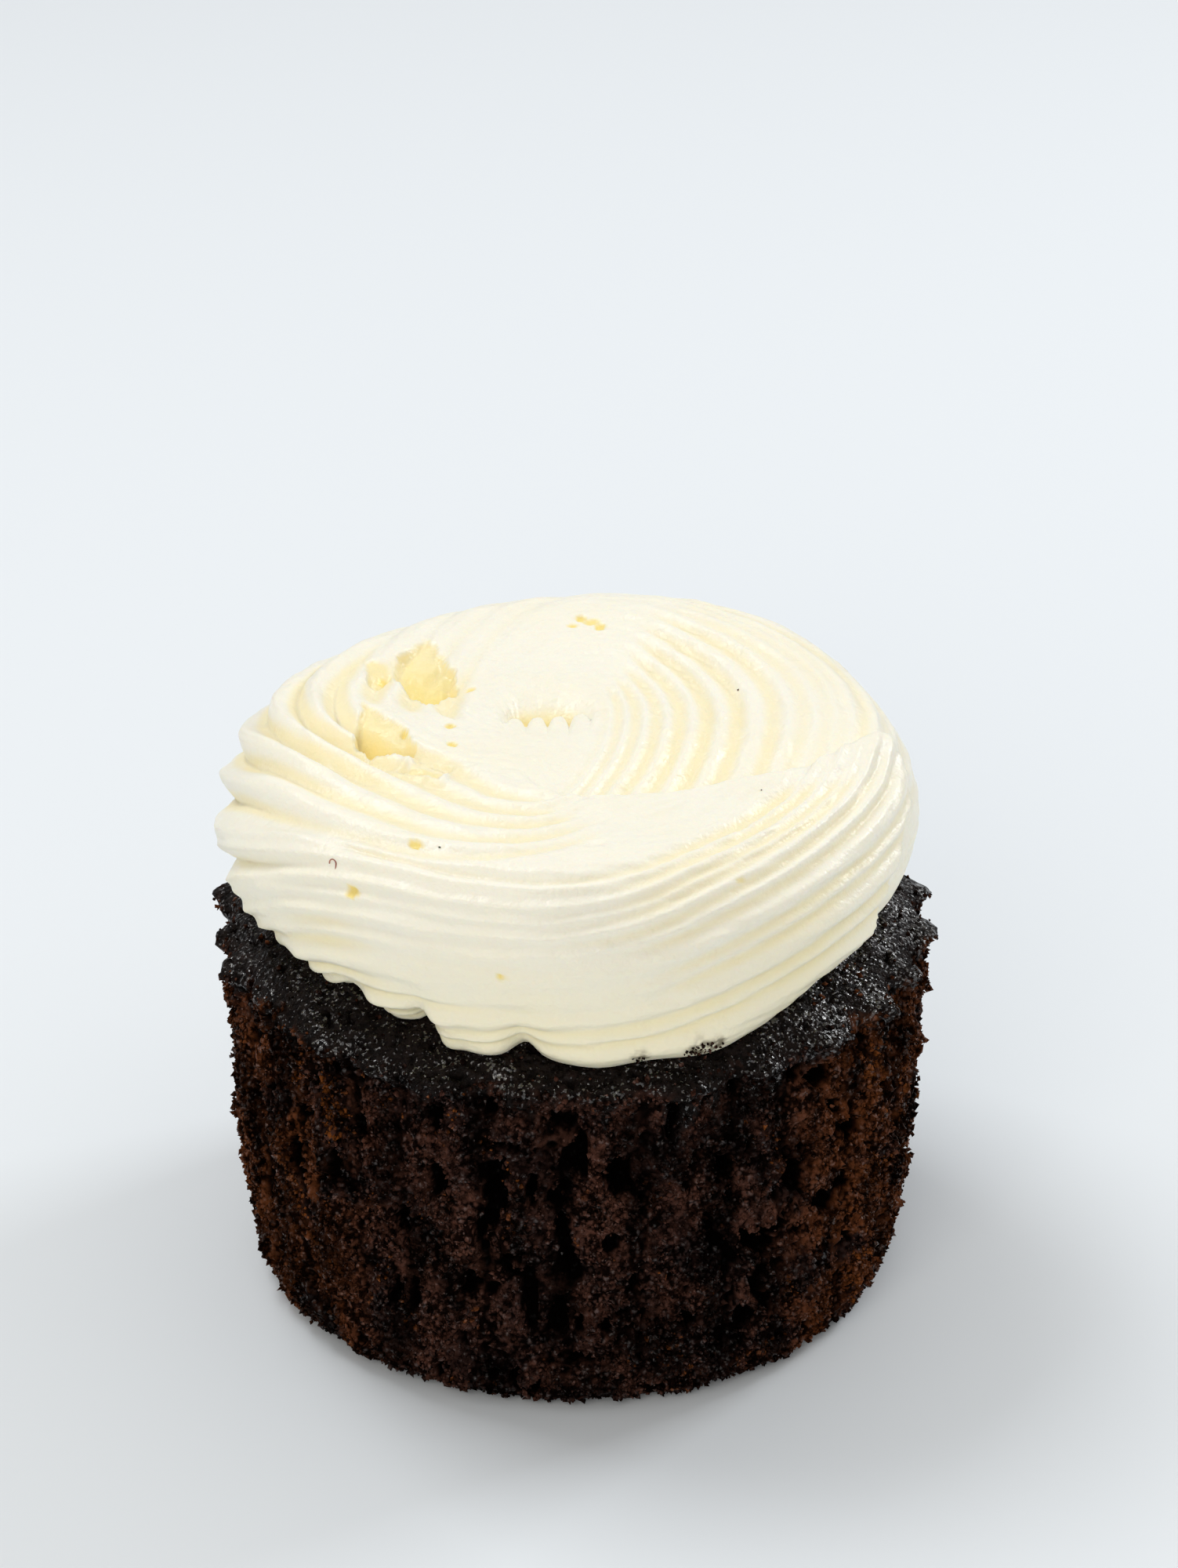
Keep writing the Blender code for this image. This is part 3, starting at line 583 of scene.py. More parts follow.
def hole_depth(cream, x, y):
    """The hole in the middle, with the toothed front lip."""
    from_middle = (x - cream.hole_x) / cream.hole_half_width
    width = 1 - ease(from_middle, 0.3, 1.35) - ease(-from_middle, 0.55, 1.15)
    across = (x - cream.hole_x) / cream.tooth_pitch
    tooth = 1 - np.abs(2 * (across - np.floor(across)) - 1) ** 3
    front = cream.hole_front - cream.tooth_notch * (1 - tooth) + 0.7 * from_middle - 0.5 * from_middle**2
    back_edge = cream.hole_back - 2.2 * from_middle**2
    back = np.clip((back_edge - y) / (back_edge - cream.hole_front), 0, 1)
    bowl = cream.hole_depth * back**1.8 * ease(y - front, -0.3, 0.35)
    run = ease(y, cream.hole_front - cream.tooth_run, cream.hole_front)
    between = (1 - tooth) * 0.7 * run * (1 - ease(y - front, -0.2, 0.5))
    lip = 0.55 * run * (1 - ease(y - front, 0.0, 0.5))
    return (bowl + between + lip) * width


def pit_depth(cream, x, y, rough):
    """Torn pits with flat sloping floors, ragged steep walls and a raised edge."""
    depth = np.zeros_like(x)
    for deep, lean, corners in PITS:
        inside = np.full_like(x, 99.0)
        for (ax, ay), (bx, by) in zip(corners, corners[1:] + corners[:1]):
            run = np.hypot(bx - ax, by - ay)
            inside = np.minimum(inside, ((bx - ax) * (y - ay) - (by - ay) * (x - ax)) / run)
        inside = inside + 0.45 * rough
        lean_x, lean_y = np.cos(np.radians(lean)), np.sin(np.radians(lean))
        reach = [cx * lean_x + cy * lean_y for cx, cy in corners]
        along = np.clip((x * lean_x + y * lean_y - min(reach)) / (max(reach) - min(reach)), 0, 1)
        floor = deep * (cream.pit_shallow + (1 - cream.pit_shallow) * along)
        rim = (0.35 + 0.3 * rough) * ease(inside, -1.3, -0.2) * (1 - ease(inside, -0.2, 0.2))
        depth = np.maximum(depth, (floor + 0.2 * rough) * ease(inside, -0.1, cream.pit_wall)) - rim
    return depth


def spotted(azimuth, s, spots, wobble):
    """Share of depth in small round marks, each (azimuth, s, half width, half height, depth)."""
    depth = np.zeros_like(s)
    for middle, place, half_width, half_height, deep in spots:
        across = np.radians(turned(azimuth - middle)) * curve(RADII, place)
        away = np.hypot(across / half_width, (s - place) / half_height) + wobble
        depth = np.maximum(depth, deep * (1 - ease(away, 0.45, 1.05)))
        depth -= 0.1 * deep * ease(away, 1.6, 1.1) * ease(away, 0.95, 1.1)
    return depth


def rope_streaks(azimuth, band_azimuth, s, along, across):
    """Noise drawn out along the rope, in degrees, and short across it.

    Two fields whose seams lie on opposite sides are blended.
    """
    left = ease(np.abs(azimuth), 60, 120)
    fan = (s - curve(LOWER_LEAD, band_azimuth)) / curve(LOWER_SPREAD, band_azimuth)
    flat = np.zeros_like(s)
    near = np.stack([azimuth / along, s / across, flat], axis=-1)
    far = np.stack([band_azimuth / along, fan / across, flat + 9.0], axis=-1)
    return sampled(noise.noise, near, 1.0) * (1 - left) + sampled(noise.noise, far, 1.0) * left


def shape_cream(cake, cream, azimuth, s):
    """Points of the cream at (azimuth, arc length), its painted yellow shade and how soiled each one is."""
    wall = np.minimum(s, WALL_LENGTH)
    under = np.clip((s - WALL_LENGTH) / cream.under_length, 0, 1)
    band_azimuth = np.where(azimuth > 0, azimuth - 360, azimuth)

    radius = curve(RADII, wall)
    height = curve(HEIGHTS, wall)
    slope_r = curve(RADII, wall + 0.05) - curve(RADII, wall - 0.05)
    slope_z = curve(HEIGHTS, wall + 0.05) - curve(HEIGHTS, wall - 0.05)
    steep = np.maximum(np.hypot(slope_r, slope_z), 1e-6)
    flat = (wall < 0.1) | (wall > WALL_LENGTH - 0.1)
    normal_r = np.where(flat & (wall < 1), 0.0, -slope_z / steep)
    normal_z = np.where(flat & (wall < 1), 1.0, slope_r / steep)
    angle = np.radians(azimuth)
    surface = np.stack([radius * np.cos(angle), radius * np.sin(angle), height], axis=-1)

    on_band = band_share(cream, azimuth, wall)
    patterned = np.where(azimuth > 0, ease(azimuth, 62, 88), on_band)
    relief = patterned * band_ridges(band_azimuth, wall)
    relief += (1 - patterned) * inner_ridges(azimuth, wall)
    tall = curve(LOWER_HEIGHT, band_azimuth)
    relief += 0.35 * patterned * tall * ease(wall, 22, 30)
    under_lead = wall - curve(LOWER_LEAD, band_azimuth) + 1.5 * (1 - ease(band_azimuth, -150, -125))
    fold = ease(band_azimuth, -185, -165) * (1 - ease(band_azimuth, -105, -75))
    relief += cream.ledge_step * fold * ease(under_lead, -0.2, 0.7) * (1 - ease(under_lead, 2.0, 9.0))

    from_crease = wall - curve(CREASE, np.minimum(azimuth, 0))
    rolled = on_band * ease(azimuth, -120, -80) * (azimuth < 0)
    relief += cream.edge_roll * rolled * ease(from_crease, 0.0, 1.8) * (1 - ease(from_crease, 1.8, 6.5))

    inside = np.clip(wall / curve(CREASE, np.minimum(azimuth, 0)), 0, 1.4)
    drop = curve(INNER_DROP, azimuth) * inside**1.6 * (1 - ease(wall, 27, 31))
    near_end = ease(azimuth, -50, -40) * (1 - ease(azimuth, 20, 60))
    drop += cream.tail_step * near_end * ease(wall, 27, 33)
    lowered = drop * np.where(azimuth > 0, 1.0, 1 - on_band)

    ragged = sampled(noise.noise, surface, 1.3)
    bubbles = spotted(azimuth, wall, BUBBLES, 0.25 * ragged)
    dents = spotted(azimuth, wall, DENTS, 0.15 * ragged)
    waves = sampled(noise.noise, surface * (1, 1, 1.6), 2.7)
    streaks = rope_streaks(azimuth, band_azimuth, wall, 9.0, 0.75) * ease(wall, 4, 11)
    offset = relief - lowered + cream.ripple * waves + cream.streak * streaks
    offset = offset * (1 - 0.5 * ease(wall, 45, WALL_LENGTH)) - bubbles - dents
    offset += ring_curve(SHOULDER_OFFSET, azimuth) * ease(wall, 12, 26) * (1 - ease(wall, 36, 43))

    foot_reach = ease(wall, WALL_LENGTH - cream.lobe_reach, WALL_LENGTH - 0.5) ** 1.4
    radius = radius + normal_r * offset + ring_curve(FOOT_OFFSET, azimuth) * foot_reach
    height = height + normal_z * offset
    x, y = radius * np.cos(angle), radius * np.sin(angle)
    pits = pit_depth(cream, x, y, ragged) * (wall < 30)
    bowl = hole_depth(cream, x, y) * (wall < 30)
    height = height - bowl - pits

    foot = crust_height(cake, x, y) + cream.gap
    foot_height = HEIGHTS[-1][1]
    squeeze = (height - foot_height) / (cream.widest_height - foot_height)
    height = np.where(wall > cream.widest, foot + squeeze * (cream.widest_height - foot), height)
    x, y = x * (1 - under), y * (1 - under)
    height = np.where(s > WALL_LENGTH - 0.01, crust_height(cake, x, y) + cream.gap, height)
    # painted shade: yellow in torn pits, the hole, bubbles and grooves, and warmer low on the wall
    torn = 0.6 * ease(pits, 0.1, 0.4) + 0.4 * ease(pits, 0.8, 2.2) + 0.8 * ease(bowl, 0.8, 2.4)
    yellow_shade = np.clip(torn + 4.5 * bubbles, 0, 1)
    yellow_shade = np.maximum(yellow_shade, 0.36 * ease(-relief, 0.05, 0.55)) + 0.24 * ease(wall, 34, 47)
    soiled = np.clip(spotted(azimuth, wall, SOILED, 0.5 * ragged) * (s < WALL_LENGTH + 1), 0, 1)
    return np.stack([x, y, height], axis=-1), {"yellow_shade": yellow_shade, "soiled": soiled}


# Meshes


def spun_mesh(name, rows, columns):
    """Closed mesh turned from (radius, height) rows, both ends of which lie on the axis."""
    shape = bmesh.new()
    made = [shape.verts.new((r, 0.0, z)) for r, z in rows]
    for first, second in zip(made, made[1:]):
        shape.edges.new((first, second))
    bmesh.ops.spin(
        shape,
        geom=shape.verts[:] + shape.edges[:],
        cent=(0.0, 0.0, 0.0),
        axis=(0.0, 0.0, 1.0),
        angle=2 * np.pi,
        steps=columns,
        use_merge=True,
    )
    bmesh.ops.remove_doubles(shape, verts=shape.verts[:], dist=1e-5)
    bmesh.ops.recalc_face_normals(shape, faces=shape.faces[:])
    mesh = bpy.data.meshes.new(name)
    shape.to_mesh(mesh)
    shape.free()
    return mesh


def points_of(mesh):
    flat = np.empty(len(mesh.vertices) * 3)
    mesh.vertices.foreach_get("co", flat)
    return flat.reshape(-1, 3)


def normals_of(mesh):
    flat = np.empty(len(mesh.vertices) * 3)
    mesh.vertices.foreach_get("normal", flat)
    return flat.reshape(-1, 3)


def place(mesh, points):
    """Puts the points, in millimetres, in the mesh, in metres."""
    mesh.vertices.foreach_set("co", (points * MM).ravel())
    mesh.update()


def store(mesh, values):
    """Keeps each named array of numbers on the mesh's points, for its material."""
    for name, numbers in values.items():
        kept = mesh.attributes.new(name, "FLOAT", "POINT")
        kept.data.foreach_set("value", np.asarray(numbers, np.float32))


def add_piece(mesh, name, made_of, replaced=None):
    """A finished piece, smooth, riding on the cake's one body."""
    piece = bpy.data.objects.new(name, mesh)
    bpy.context.scene.collection.objects.link(piece)
    mesh.materials.append(made_of)
    mesh.shade_smooth()
    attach(piece, "root")
    if replaced:
        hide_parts(replaced)
    return piece


def grain_shape():
    """Points and faces of one angular grain of diameter 1."""
    shape = bmesh.new()
    bmesh.ops.create_uvsphere(shape, u_segments=4, v_segments=2, radius=0.5)
    points = np.array([v.co for v in shape.verts])
    faces = np.array([[v.index for v in f.verts] for f in shape.faces])
    shape.free()
    return points, faces


def scatter(name, middles, sizes, random):
    """One mesh of many angular grains, each turned and knocked out of round."""
    points, faces = grain_shape()
    total = len(middles)
    knocked = points[None] * random.uniform(0.6, 1.3, (total, len(points), 1))
    knocked *= random.uniform(0.6, 1.4, (total, 1, 3))
    turns = np.array([Euler(a).to_matrix() for a in random.uniform(0, 6.28, (total, 3)).tolist()])
    knocked = np.einsum("nij,npj->npi", turns, knocked * sizes[:, None, None])
    verts = (knocked + middles[:, None]).reshape(-1, 3)
    loops = (faces[None] + np.arange(total)[:, None, None] * len(points)).reshape(-1, 3)
    mesh = bpy.data.meshes.new(name)
    mesh.from_pydata((verts * MM).tolist(), [], loops.tolist())
    mesh.update()
    return mesh


# Materials


class Nodes:
    """Adds the nodes of one material; inputs are values or the sockets they come from."""

    def __init__(self, name):
        self.material = bpy.data.materials.new(name)
        self.material.use_nodes = True
        self.tree = self.material.node_tree
        self.shader = self.tree.nodes["Principled BSDF"]
        self.object = self.add("ShaderNodeTexCoord").outputs["Object"]

    def add(self, kind, inputs=(), **settings):
        node = self.tree.nodes.new(kind)
        for name, value in settings.items():
            setattr(node, name, value)
        self.fill(node, dict(inputs))
        return node

    def fill(self, node, inputs):
        for key, value in inputs.items():
            if isinstance(value, bpy.types.NodeSocket):
                self.tree.links.new(value, node.inputs[key])
            else:
                node.inputs[key].default_value = value

    def noise(self, size, detail=2.0, vector=None, roughness=0.5):
        """Noise with features about size millimetres across."""
        node = self.add("ShaderNodeTexNoise", {
            "Vector": vector or self.object, "Scale": 0.6 / (size * MM),
            "Detail": detail, "Roughness": roughness,
        })
        return node.outputs["Fac"]

    def pebbles(self, size):
        """1 in the middle of rounded cells about size millimetres across and 0 between them, and a value
        of 0 to 1 for each cell."""
        node = self.add("ShaderNodeTexVoronoi", {"Vector": self.object, "Scale": 1 / (size * MM)})
        return self.ramp(node.outputs["Distance"], 0.2, 0.62, 1.0, 0.0), node.outputs["Color"]

    def attribute(self, name):
        return self.add("ShaderNodeAttribute", attribute_name=name).outputs["Fac"]

    def ramp(self, value, start, end, low=0.0, high=1.0):
        """Value eased from low to high between start and end."""
        node = self.add("ShaderNodeMapRange", {
            "Value": value, "From Min": start, "From Max": end, "To Min": low, "To Max": high,
        }, interpolation_type="SMOOTHSTEP")
        return node.outputs["Result"]

    def maths(self, operation, first, second):
        return self.add("ShaderNodeMath", {0: first, 1: second}, operation=operation).outputs[0]

    def total(self, first, *others):
        """First plus every other (value, weight)."""
        for value, weight in others:
            first = self.maths("ADD", first, self.maths("MULTIPLY", value, weight))
        return first

    def mix(self, share_of_second, first, second):
        node = self.add("ShaderNodeMix", data_type="RGBA")
        ends = {"Factor": share_of_second, "A": first, "B": second}
        for socket in node.inputs:
            if socket.name in ends and socket.enabled:
                value = ends[socket.name]
                if isinstance(value, bpy.types.NodeSocket):
                    self.tree.links.new(value, socket)
                elif socket.name == "Factor":
                    socket.default_value = value
                else:
                    socket.default_value = (*value, 1.0)
        return next(s for s in node.outputs if s.enabled)

    def bump(self, height, depth, below=None):
        """Bump of depth millimetres on top of another one."""
        inputs = {"Height": height, "Distance": depth * MM, "Strength": 1.0}
        if below is not None:
            inputs["Normal"] = below
        return self.add("ShaderNodeBump", inputs).outputs["Normal"]

    def finish(self, **inputs):
        self.fill(self.shader, {name.replace("_", " "): v for name, v in inputs.items()})
        return self.material


def cream_material(cream):
    """Whipped cream: nearly white, with painted yellow shade where torn or hollow and a little random tone,
    satin, with fine pores.
    """
    n = Nodes("whipped_cream")
    # painted shade from the mesh, with a little random tone added
    yellow_shade = n.maths("ADD", n.attribute("yellow_shade"), n.ramp(n.noise(6.0), 0.35, 0.75, 0.0, 0.07))
    shade = n.mix(yellow_shade, cream.white, cream.yellow)
    shade = n.mix(n.maths("MULTIPLY", n.attribute("soiled"), n.ramp(n.noise(0.7), 0.35, 0.6)), shade, SOIL)
    pores = n.noise(0.3, 2.0)
    grain = n.noise(0.9, 3.0)
    normal = n.bump(pores, 0.09)
    normal = n.bump(grain, 0.16, normal)
    return n.finish(
        Base_Color=shade,
        Roughness=n.ramp(grain, 0.3, 0.7, 0.3, 0.46),
        Specular_IOR_Level=0.45,
        Subsurface_Weight=0.28,
        Subsurface_Radius=(1.0, 0.75, 0.45),
        Subsurface_Scale=0.0009,
        Normal=normal,
    )


def crumb_material(name, dark, light, side_light, crust=None):
    """Torn crumb of rounded granules, painted near-black shade between them and in vertical folds, lighter
    and more orange towards the sides as painted warm side light; with a crust colour, glossy skin where
    baked and painted shade in the hollows.
    """
    n = Nodes(name)
    granules = n.noise(0.5, 3.0, roughness=0.65)
    clumps = n.noise(1.6, 2.0)
    round_cells, cell_tone = n.pebbles(0.62)
    relief = n.total(n.maths("MULTIPLY", round_cells, 0.16), (granules, 0.5), (clumps, 0.4))
    upright = n.add("ShaderNodeMapping", {"Vector": n.object, "Scale": (1.0, 1.0, 0.35)}).outputs["Vector"]
    # dark vertical bands of painted shade, like grooves between flutes
    folds = n.ramp(n.noise(2.2, 2.0, upright), 0.38, 0.58, 0.22, 1.0)
    # painted warm side light: lighter, more orange crumb towards the sides
    side_light_share = n.attribute("side_light")
    patches = n.total(n.noise(4.0, 3.0), (cell_tone, 0.12), (side_light_share, 0.08))
    tone = n.mix(n.ramp(patches, 0.46, 0.68), dark, n.mix(n.ramp(side_light_share, 0.0, 1.0, 0.1, 0.9), light, side_light))
    # painted shade: near black between the granules and in the folds
    shade = n.mix(n.maths("MULTIPLY", folds, n.ramp(relief, 0.39, 0.57, 0.06, 1.0)), GAP_SHADE, tone)
    shine = n.maths("MULTIPLY", n.ramp(n.noise(0.4, 1.0), 0.5, 0.68, 0.06, 0.7), round_cells)
    gloss = n.ramp(granules, 0.4, 0.6, 0.55, 0.38)
    if crust is not None:
        baked = n.attribute("crust")
        skin = n.mix(n.ramp(granules, 0.4, 0.6), [c * 0.5 for c in crust], [c * 1.5 for c in crust])
        shade = n.mix(baked, shade, skin)
        glints = n.total(n.noise(0.22, 1.0), (n.noise(2.5), 0.4), (n.attribute("wet"), 0.085))
        glints = n.ramp(glints, 0.8, 0.88, 0.03, 1.4)
        shine = n.maths("MULTIPLY", shine, n.ramp(baked, 0.0, 0.7, 1.0, 0.0))
        shine = n.total(shine, (baked, glints))
        gloss = n.total(gloss, (baked, -0.3))
        # painted shade: hollows darkened towards black
        hollow = n.attribute("hollow")
        shade = n.mix(n.ramp(hollow, 0.2, 0.95), shade, GAP_SHADE)
        shine = n.maths("MULTIPLY", shine, n.ramp(hollow, 0.1, 0.7, 1.0, 0.05))
    normal = n.bump(clumps, 0.5, n.bump(round_cells, 0.12, n.bump(granules, 0.25)))
    return n.finish(Base_Color=shade, Roughness=gloss, Specular_IOR_Level=shine, Normal=normal)


# Operators


class CUPCAKE_OT_stage(bpy.types.Operator):
    """Sets up the floor, the soft light and the camera"""

    bl_idname = "cupcake.stage"
    bl_label = "Stage"

    def execute(self, context):
        stage = read(context.scene.cupcake_stage)
        shape = bmesh.new()
        bmesh.ops.create_grid(shape, x_segments=2, y_segments=2, size=stage.floor_size * MM / 2)
        bmesh.ops.translate(shape, verts=shape.verts[:], vec=(0.0, 0.0, -0.0001))
        mesh = bpy.data.meshes.new("floor")
        shape.to_mesh(mesh)
        shape.free()
        floor = bpy.data.objects.new("floor", mesh)
        context.scene.collection.objects.link(floor)
        n = Nodes("pale_floor")
        mesh.materials.append(n.finish(Base_Color=(*stage.floor, 1.0), Roughness=0.6))

        world = bpy.data.worlds.new("studio")
        world.use_nodes = True
        sky = world.node_tree.nodes["Background"]
        sky.inputs["Color"].default_value = SKY_COLOUR
        sky.inputs["Strength"].default_value = SKY_STRENGTH
        context.scene.world = world
        for name, where, size, power, tint in LAMPS:
            data = bpy.data.lights.new(name, "AREA")
            data.size, data.energy, data.color = size, power, tint
            light = bpy.data.objects.new(name, data)
            light.location = where
            light.rotation_euler = (Vector(AIM) - light.location).to_track_quat("-Z", "Y").to_euler()
            context.scene.collection.objects.link(light)

        data = bpy.data.cameras.new("camera")
        data.lens = stage.lens
        camera = bpy.data.objects.new("camera", data)
        camera.location = stage.camera
        camera.rotation_euler = (np.radians(stage.camera_tilt), 0.0, 0.0)
        context.scene.collection.objects.link(camera)
        context.scene.camera = camera
        context.scene.view_settings.view_transform = "Standard"
        return {"FINISHED"}


class CUPCAKE_OT_sponge(bpy.types.Operator):
    """Makes the baked cake with its torn fluted side, holes and glossy crust"""

    bl_idname = "cupcake.sponge"
    bl_label = "Sponge"

    def execute(self, context):
        cake = read(context.scene.cupcake_cake)
        mesh = spun_mesh("torn_sponge", fine_rows(cake), cake.columns)
        points, looks = shape_cake(cake, points_of(mesh))
        place(mesh, points)
        store(mesh, looks)
        colours = (cake.crumb, cake.crumb_light, cake.crumb_side_light, cake.crust)
        made_of = crumb_material("chocolate_sponge", *colours)
        add_piece(mesh, "torn_sponge", made_of, "sponge")
        return {"FINISHED"}


class CUPCAKE_OT_grains(bpy.types.Operator):
    """Scatters loose grains over the torn side of the sponge"""

    bl_idname = "cupcake.grains"
    bl_label = "Grains"

    def execute(self, context):
        crumbs = read(context.scene.cupcake_crumbs)
        mesh = bpy.data.meshes["torn_sponge"]
        points, normals = points_of(mesh) / MM, normals_of(mesh)
        hollow, crust, side_light = np.empty((3, len(points)))
        for name, values in (("hollow", hollow), ("crust", crust), ("side_light", side_light)):
            mesh.attributes[name].data.foreach_get("value", values)
        azimuth, radius = polar(points[:, 0], points[:, 1])
        height = points[:, 2]
        torn = ease(height, 0.3, 1.5) * (1 - ease(height, 35.4, 38.6)) * (radius > 25)
        open_side = torn * (1 - hollow) ** 2 * (1 - 0.93 * crust)
        on_crust = 0.03 * (radius > 30) * (height > 35.8) * (height < 41)
        clusters = sampled(noise.noise, points * (1.0, 1.0, 0.7) + 5.0, 3.6)
        # orange grains: a few everywhere as toasted crumb, many more at the left and right edges as painted
        # warm side light
        toasted_and_side_light = 0.15 + ease(np.abs(turned(azimuth + 155)), 40, 10)
        toasted_and_side_light += ease(np.abs(turned(azimuth + 20)), 45, 10)
        # fewer dark and more brown grains on the sides, as painted warm side light
        kinds = (
            ("dark", open_side * (1 - 0.6 * side_light) + on_crust, crumbs.dark_count, crumbs.dark, crumbs.brown),
            ("brown", open_side * ease(clusters + 0.3 * side_light, -0.4, 0.4), crumbs.brown_count,
             crumbs.brown, crumbs.dark),
            ("orange", open_side * ease(clusters, 0.1, 0.5) * toasted_and_side_light, crumbs.orange_count,
             crumbs.orange, crumbs.brown),
        )
        for number_of_kind, (kind, weight, total, main_colour, other) in enumerate(kinds):
            random = np.random.default_rng(SEED + 10 + number_of_kind)
            chosen = random.choice(len(points), total, p=weight / weight.sum())
            sizes = crumbs.smallest + (crumbs.largest - crumbs.smallest) * random.random(total) ** 2.0
            middles = points[chosen] + normals[chosen] * (sizes * random.uniform(-0.15, 0.3, total))[:, None]
            middles += random.uniform(-0.18, 0.18, (total, 3))
            middles[:, 2] = np.maximum(middles[:, 2], sizes * 0.9)
            name = f"{kind}_grains"
            made_of = crumb_material(name, main_colour, other, crumbs.side_light)
            grains = scatter(name, middles, sizes, random)
            store(grains, {"side_light": np.repeat(side_light[chosen], len(grains.vertices) // total)})
            add_piece(grains, name, made_of)
        return {"FINISHED"}


class CUPCAKE_OT_specks(bpy.types.Operator):
    """Sticks crumbs and specks to the cream, with one hooked fibre"""

    bl_idname = "cupcake.specks"
    bl_label = "Crumbs on the cream"

    def execute(self, context):
        crumbs = read(context.scene.cupcake_crumbs)
        mesh = bpy.data.meshes["piped_cream"]
        points, normals = points_of(mesh) / MM, normals_of(mesh)
        random = np.random.default_rng(SEED + 20)
        middles, sizes = [], []
        for x, y, z, reach, total, size in STUCK:
            away = np.abs(points - (x, y, z)) / (reach, 2.0, 0.4 * reach + 0.2)
            near = np.flatnonzero((away**2).sum(axis=1) < 1)
            if not len(near):
                near = [int((away**2).sum(axis=1).argmin())]
            chosen = random.choice(near, total)
            grain = size * random.uniform(0.6, 1.4, total)
            apart = random.uniform(-0.12, 0.12, (total, 3)) * (total > 1)
            middles.append(points[chosen] + normals[chosen] * grain[:, None] * 0.25 + apart)
            sizes.append(grain)
        stuck = scatter("stuck_crumbs", np.concatenate(middles), np.concatenate(sizes), random)
        made_of = crumb_material("stuck_crumbs", crumbs.dark, crumbs.brown, crumbs.side_light)
        add_piece(stuck, "stuck_crumbs", made_of)

        nearest = int(((points - FIBRE) ** 2).sum(axis=1).argmin())
        shape = bmesh.new()
        ring = bmesh.ops.create_circle(shape, segments=6, radius=FIBRE_RADIUS)["verts"]
        bmesh.ops.rotate(shape, verts=ring, matrix=Euler((np.pi / 2, 0, 0)).to_matrix())
        bmesh.ops.translate(shape, verts=ring, vec=(FIBRE_BEND, 0.0, 0.0))
        straight = bmesh.ops.extrude_edge_only(shape, edges=shape.edges[:])["geom"]
        moved = [v for v in straight if isinstance(v, bmesh.types.BMVert)]
        bmesh.ops.translate(shape, verts=moved, vec=(0.1, -0.9, 0.0))
        open_ring = [e for e in shape.edges if all(v in ring for v in e.verts)]
        bmesh.ops.spin(
            shape, geom=ring + open_ring, cent=(0, 0, 0), axis=(0, 0, 1),
            angle=np.radians(FIBRE_HOOK), steps=10,
        )
        ends = [e for e in shape.edges if e.is_boundary]
        bmesh.ops.holes_fill(shape, edges=ends)
        bmesh.ops.recalc_face_normals(shape, faces=shape.faces[:])
        turn = Vector(normals[nearest]).to_track_quat("Z", "Y").to_matrix()
        bmesh.ops.rotate(shape, verts=shape.verts[:], matrix=turn)
        bmesh.ops.translate(shape, verts=shape.verts[:], vec=points[nearest] + 0.05 * normals[nearest])
        bmesh.ops.scale(shape, verts=shape.verts[:], vec=(MM, MM, MM))
        fibre = bpy.data.meshes.new("fibre")
        shape.to_mesh(fibre)
        shape.free()
        n = Nodes("reddish_fibre")
        tint = n.mix(n.ramp(n.noise(0.6), 0.35, 0.65), *FIBRE_COLOURS)
        add_piece(fibre, "fibre", n.finish(Base_Color=tint, Roughness=0.5))
        return {"FINISHED"}


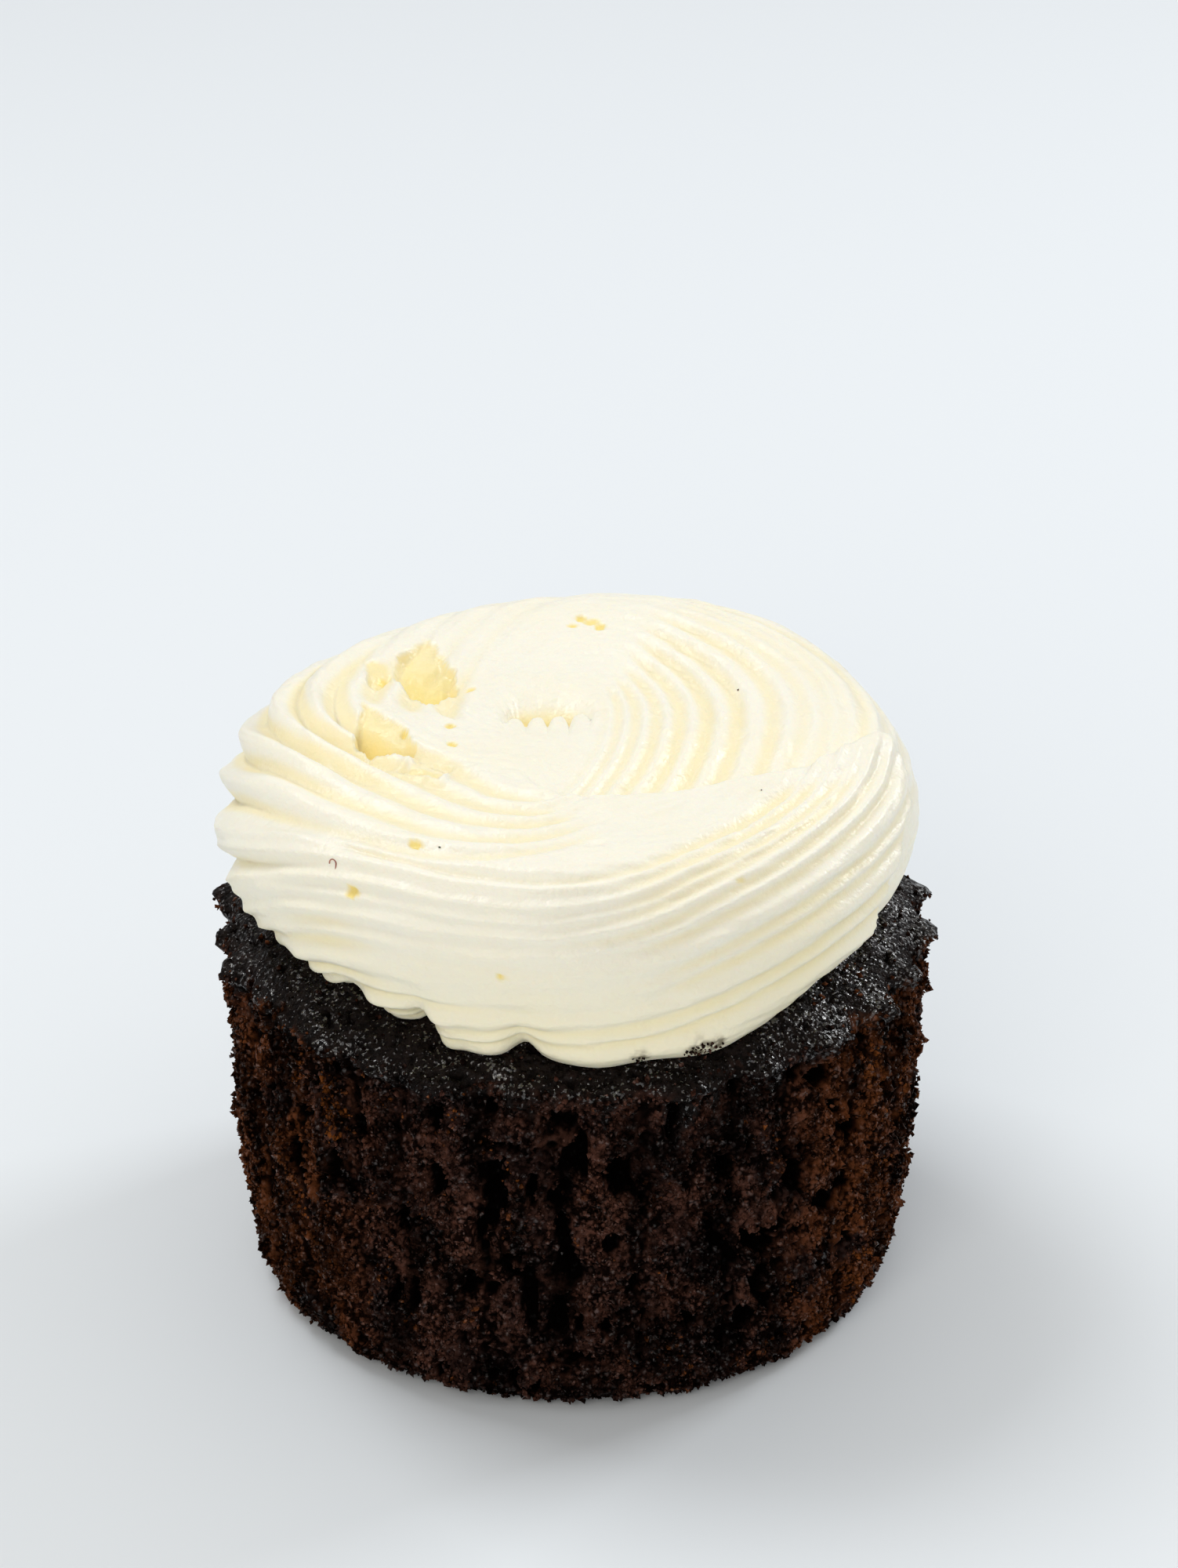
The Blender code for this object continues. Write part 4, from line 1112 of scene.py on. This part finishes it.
class CUPCAKE_OT_cream(bpy.types.Operator):
    """Makes the swirl of cream with its ridges, torn pits and bubbles"""

    bl_idname = "cupcake.cream"
    bl_label = "Cream"

    def execute(self, context):
        cake = read(context.scene.cupcake_cake)
        cream = read(context.scene.cupcake_cream)
        lengths = np.linspace(0, WALL_LENGTH, int(WALL_LENGTH / cream.row_step) + 1)
        below = WALL_LENGTH + np.linspace(0, cream.under_length, cream.under_rows + 1)[1:]
        lengths = np.concatenate([lengths, below])
        radii = np.where(lengths > WALL_LENGTH, WALL_LENGTH + cream.under_length - lengths, lengths)
        rows = [(float(r), -float(s)) for r, s in zip(radii, lengths)]
        mesh = spun_mesh("piped_cream", rows, cream.columns)
        points = points_of(mesh)
        azimuth, _ = polar(points[:, 0], points[:, 1])
        shaped, looks = shape_cream(cake, cream, azimuth, -points[:, 2])
        place(mesh, shaped)
        store(mesh, looks)
        add_piece(mesh, "piped_cream", cream_material(cream), "cream_swirl")
        return {"FINISHED"}


class CUPCAKE_PT_panel(bpy.types.Panel):
    """Sizes, colours and the steps that make the cupcake"""

    bl_idname = "CUPCAKE_PT_panel"
    bl_label = "Cupcake"
    bl_space_type = "VIEW_3D"
    bl_region_type = "UI"
    bl_category = "Cupcake"

    def draw(self, context):
        steps = {
            "cupcake_stage": (CUPCAKE_OT_stage,),
            "cupcake_cake": (CUPCAKE_OT_sponge,),
            "cupcake_cream": (CUPCAKE_OT_cream,),
            "cupcake_crumbs": (CUPCAKE_OT_grains, CUPCAKE_OT_specks),
        }
        for name, operators in steps.items():
            group = getattr(context.scene, name)
            box = self.layout.box()
            for prop in group.__annotations__:
                box.prop(group, prop)
            for operator in operators:
                box.operator(operator.bl_idname)


GROUPS = {
    "cupcake_cake": CakeSettings,
    "cupcake_cream": CreamSettings,
    "cupcake_crumbs": CrumbSettings,
    "cupcake_stage": StageSettings,
}
CLASSES = (
    *GROUPS.values(), CUPCAKE_OT_stage, CUPCAKE_OT_sponge, CUPCAKE_OT_grains, CUPCAKE_OT_cream,
    CUPCAKE_OT_specks, CUPCAKE_PT_panel,
)


def register():
    for made in CLASSES:
        bpy.utils.register_class(made)
    for name, group in GROUPS.items():
        setattr(bpy.types.Scene, name, bpy.props.PointerProperty(type=group))


def unregister():
    for name in GROUPS:
        delattr(bpy.types.Scene, name)
    for made in reversed(CLASSES):
        bpy.utils.unregister_class(made)


def main():
    register()
    bpy.ops.cupcake.stage()
    bpy.ops.cupcake.sponge()
    bpy.ops.cupcake.grains()
    bpy.ops.cupcake.cream()
    bpy.ops.cupcake.specks()


if __name__ == "__main__":
    main()
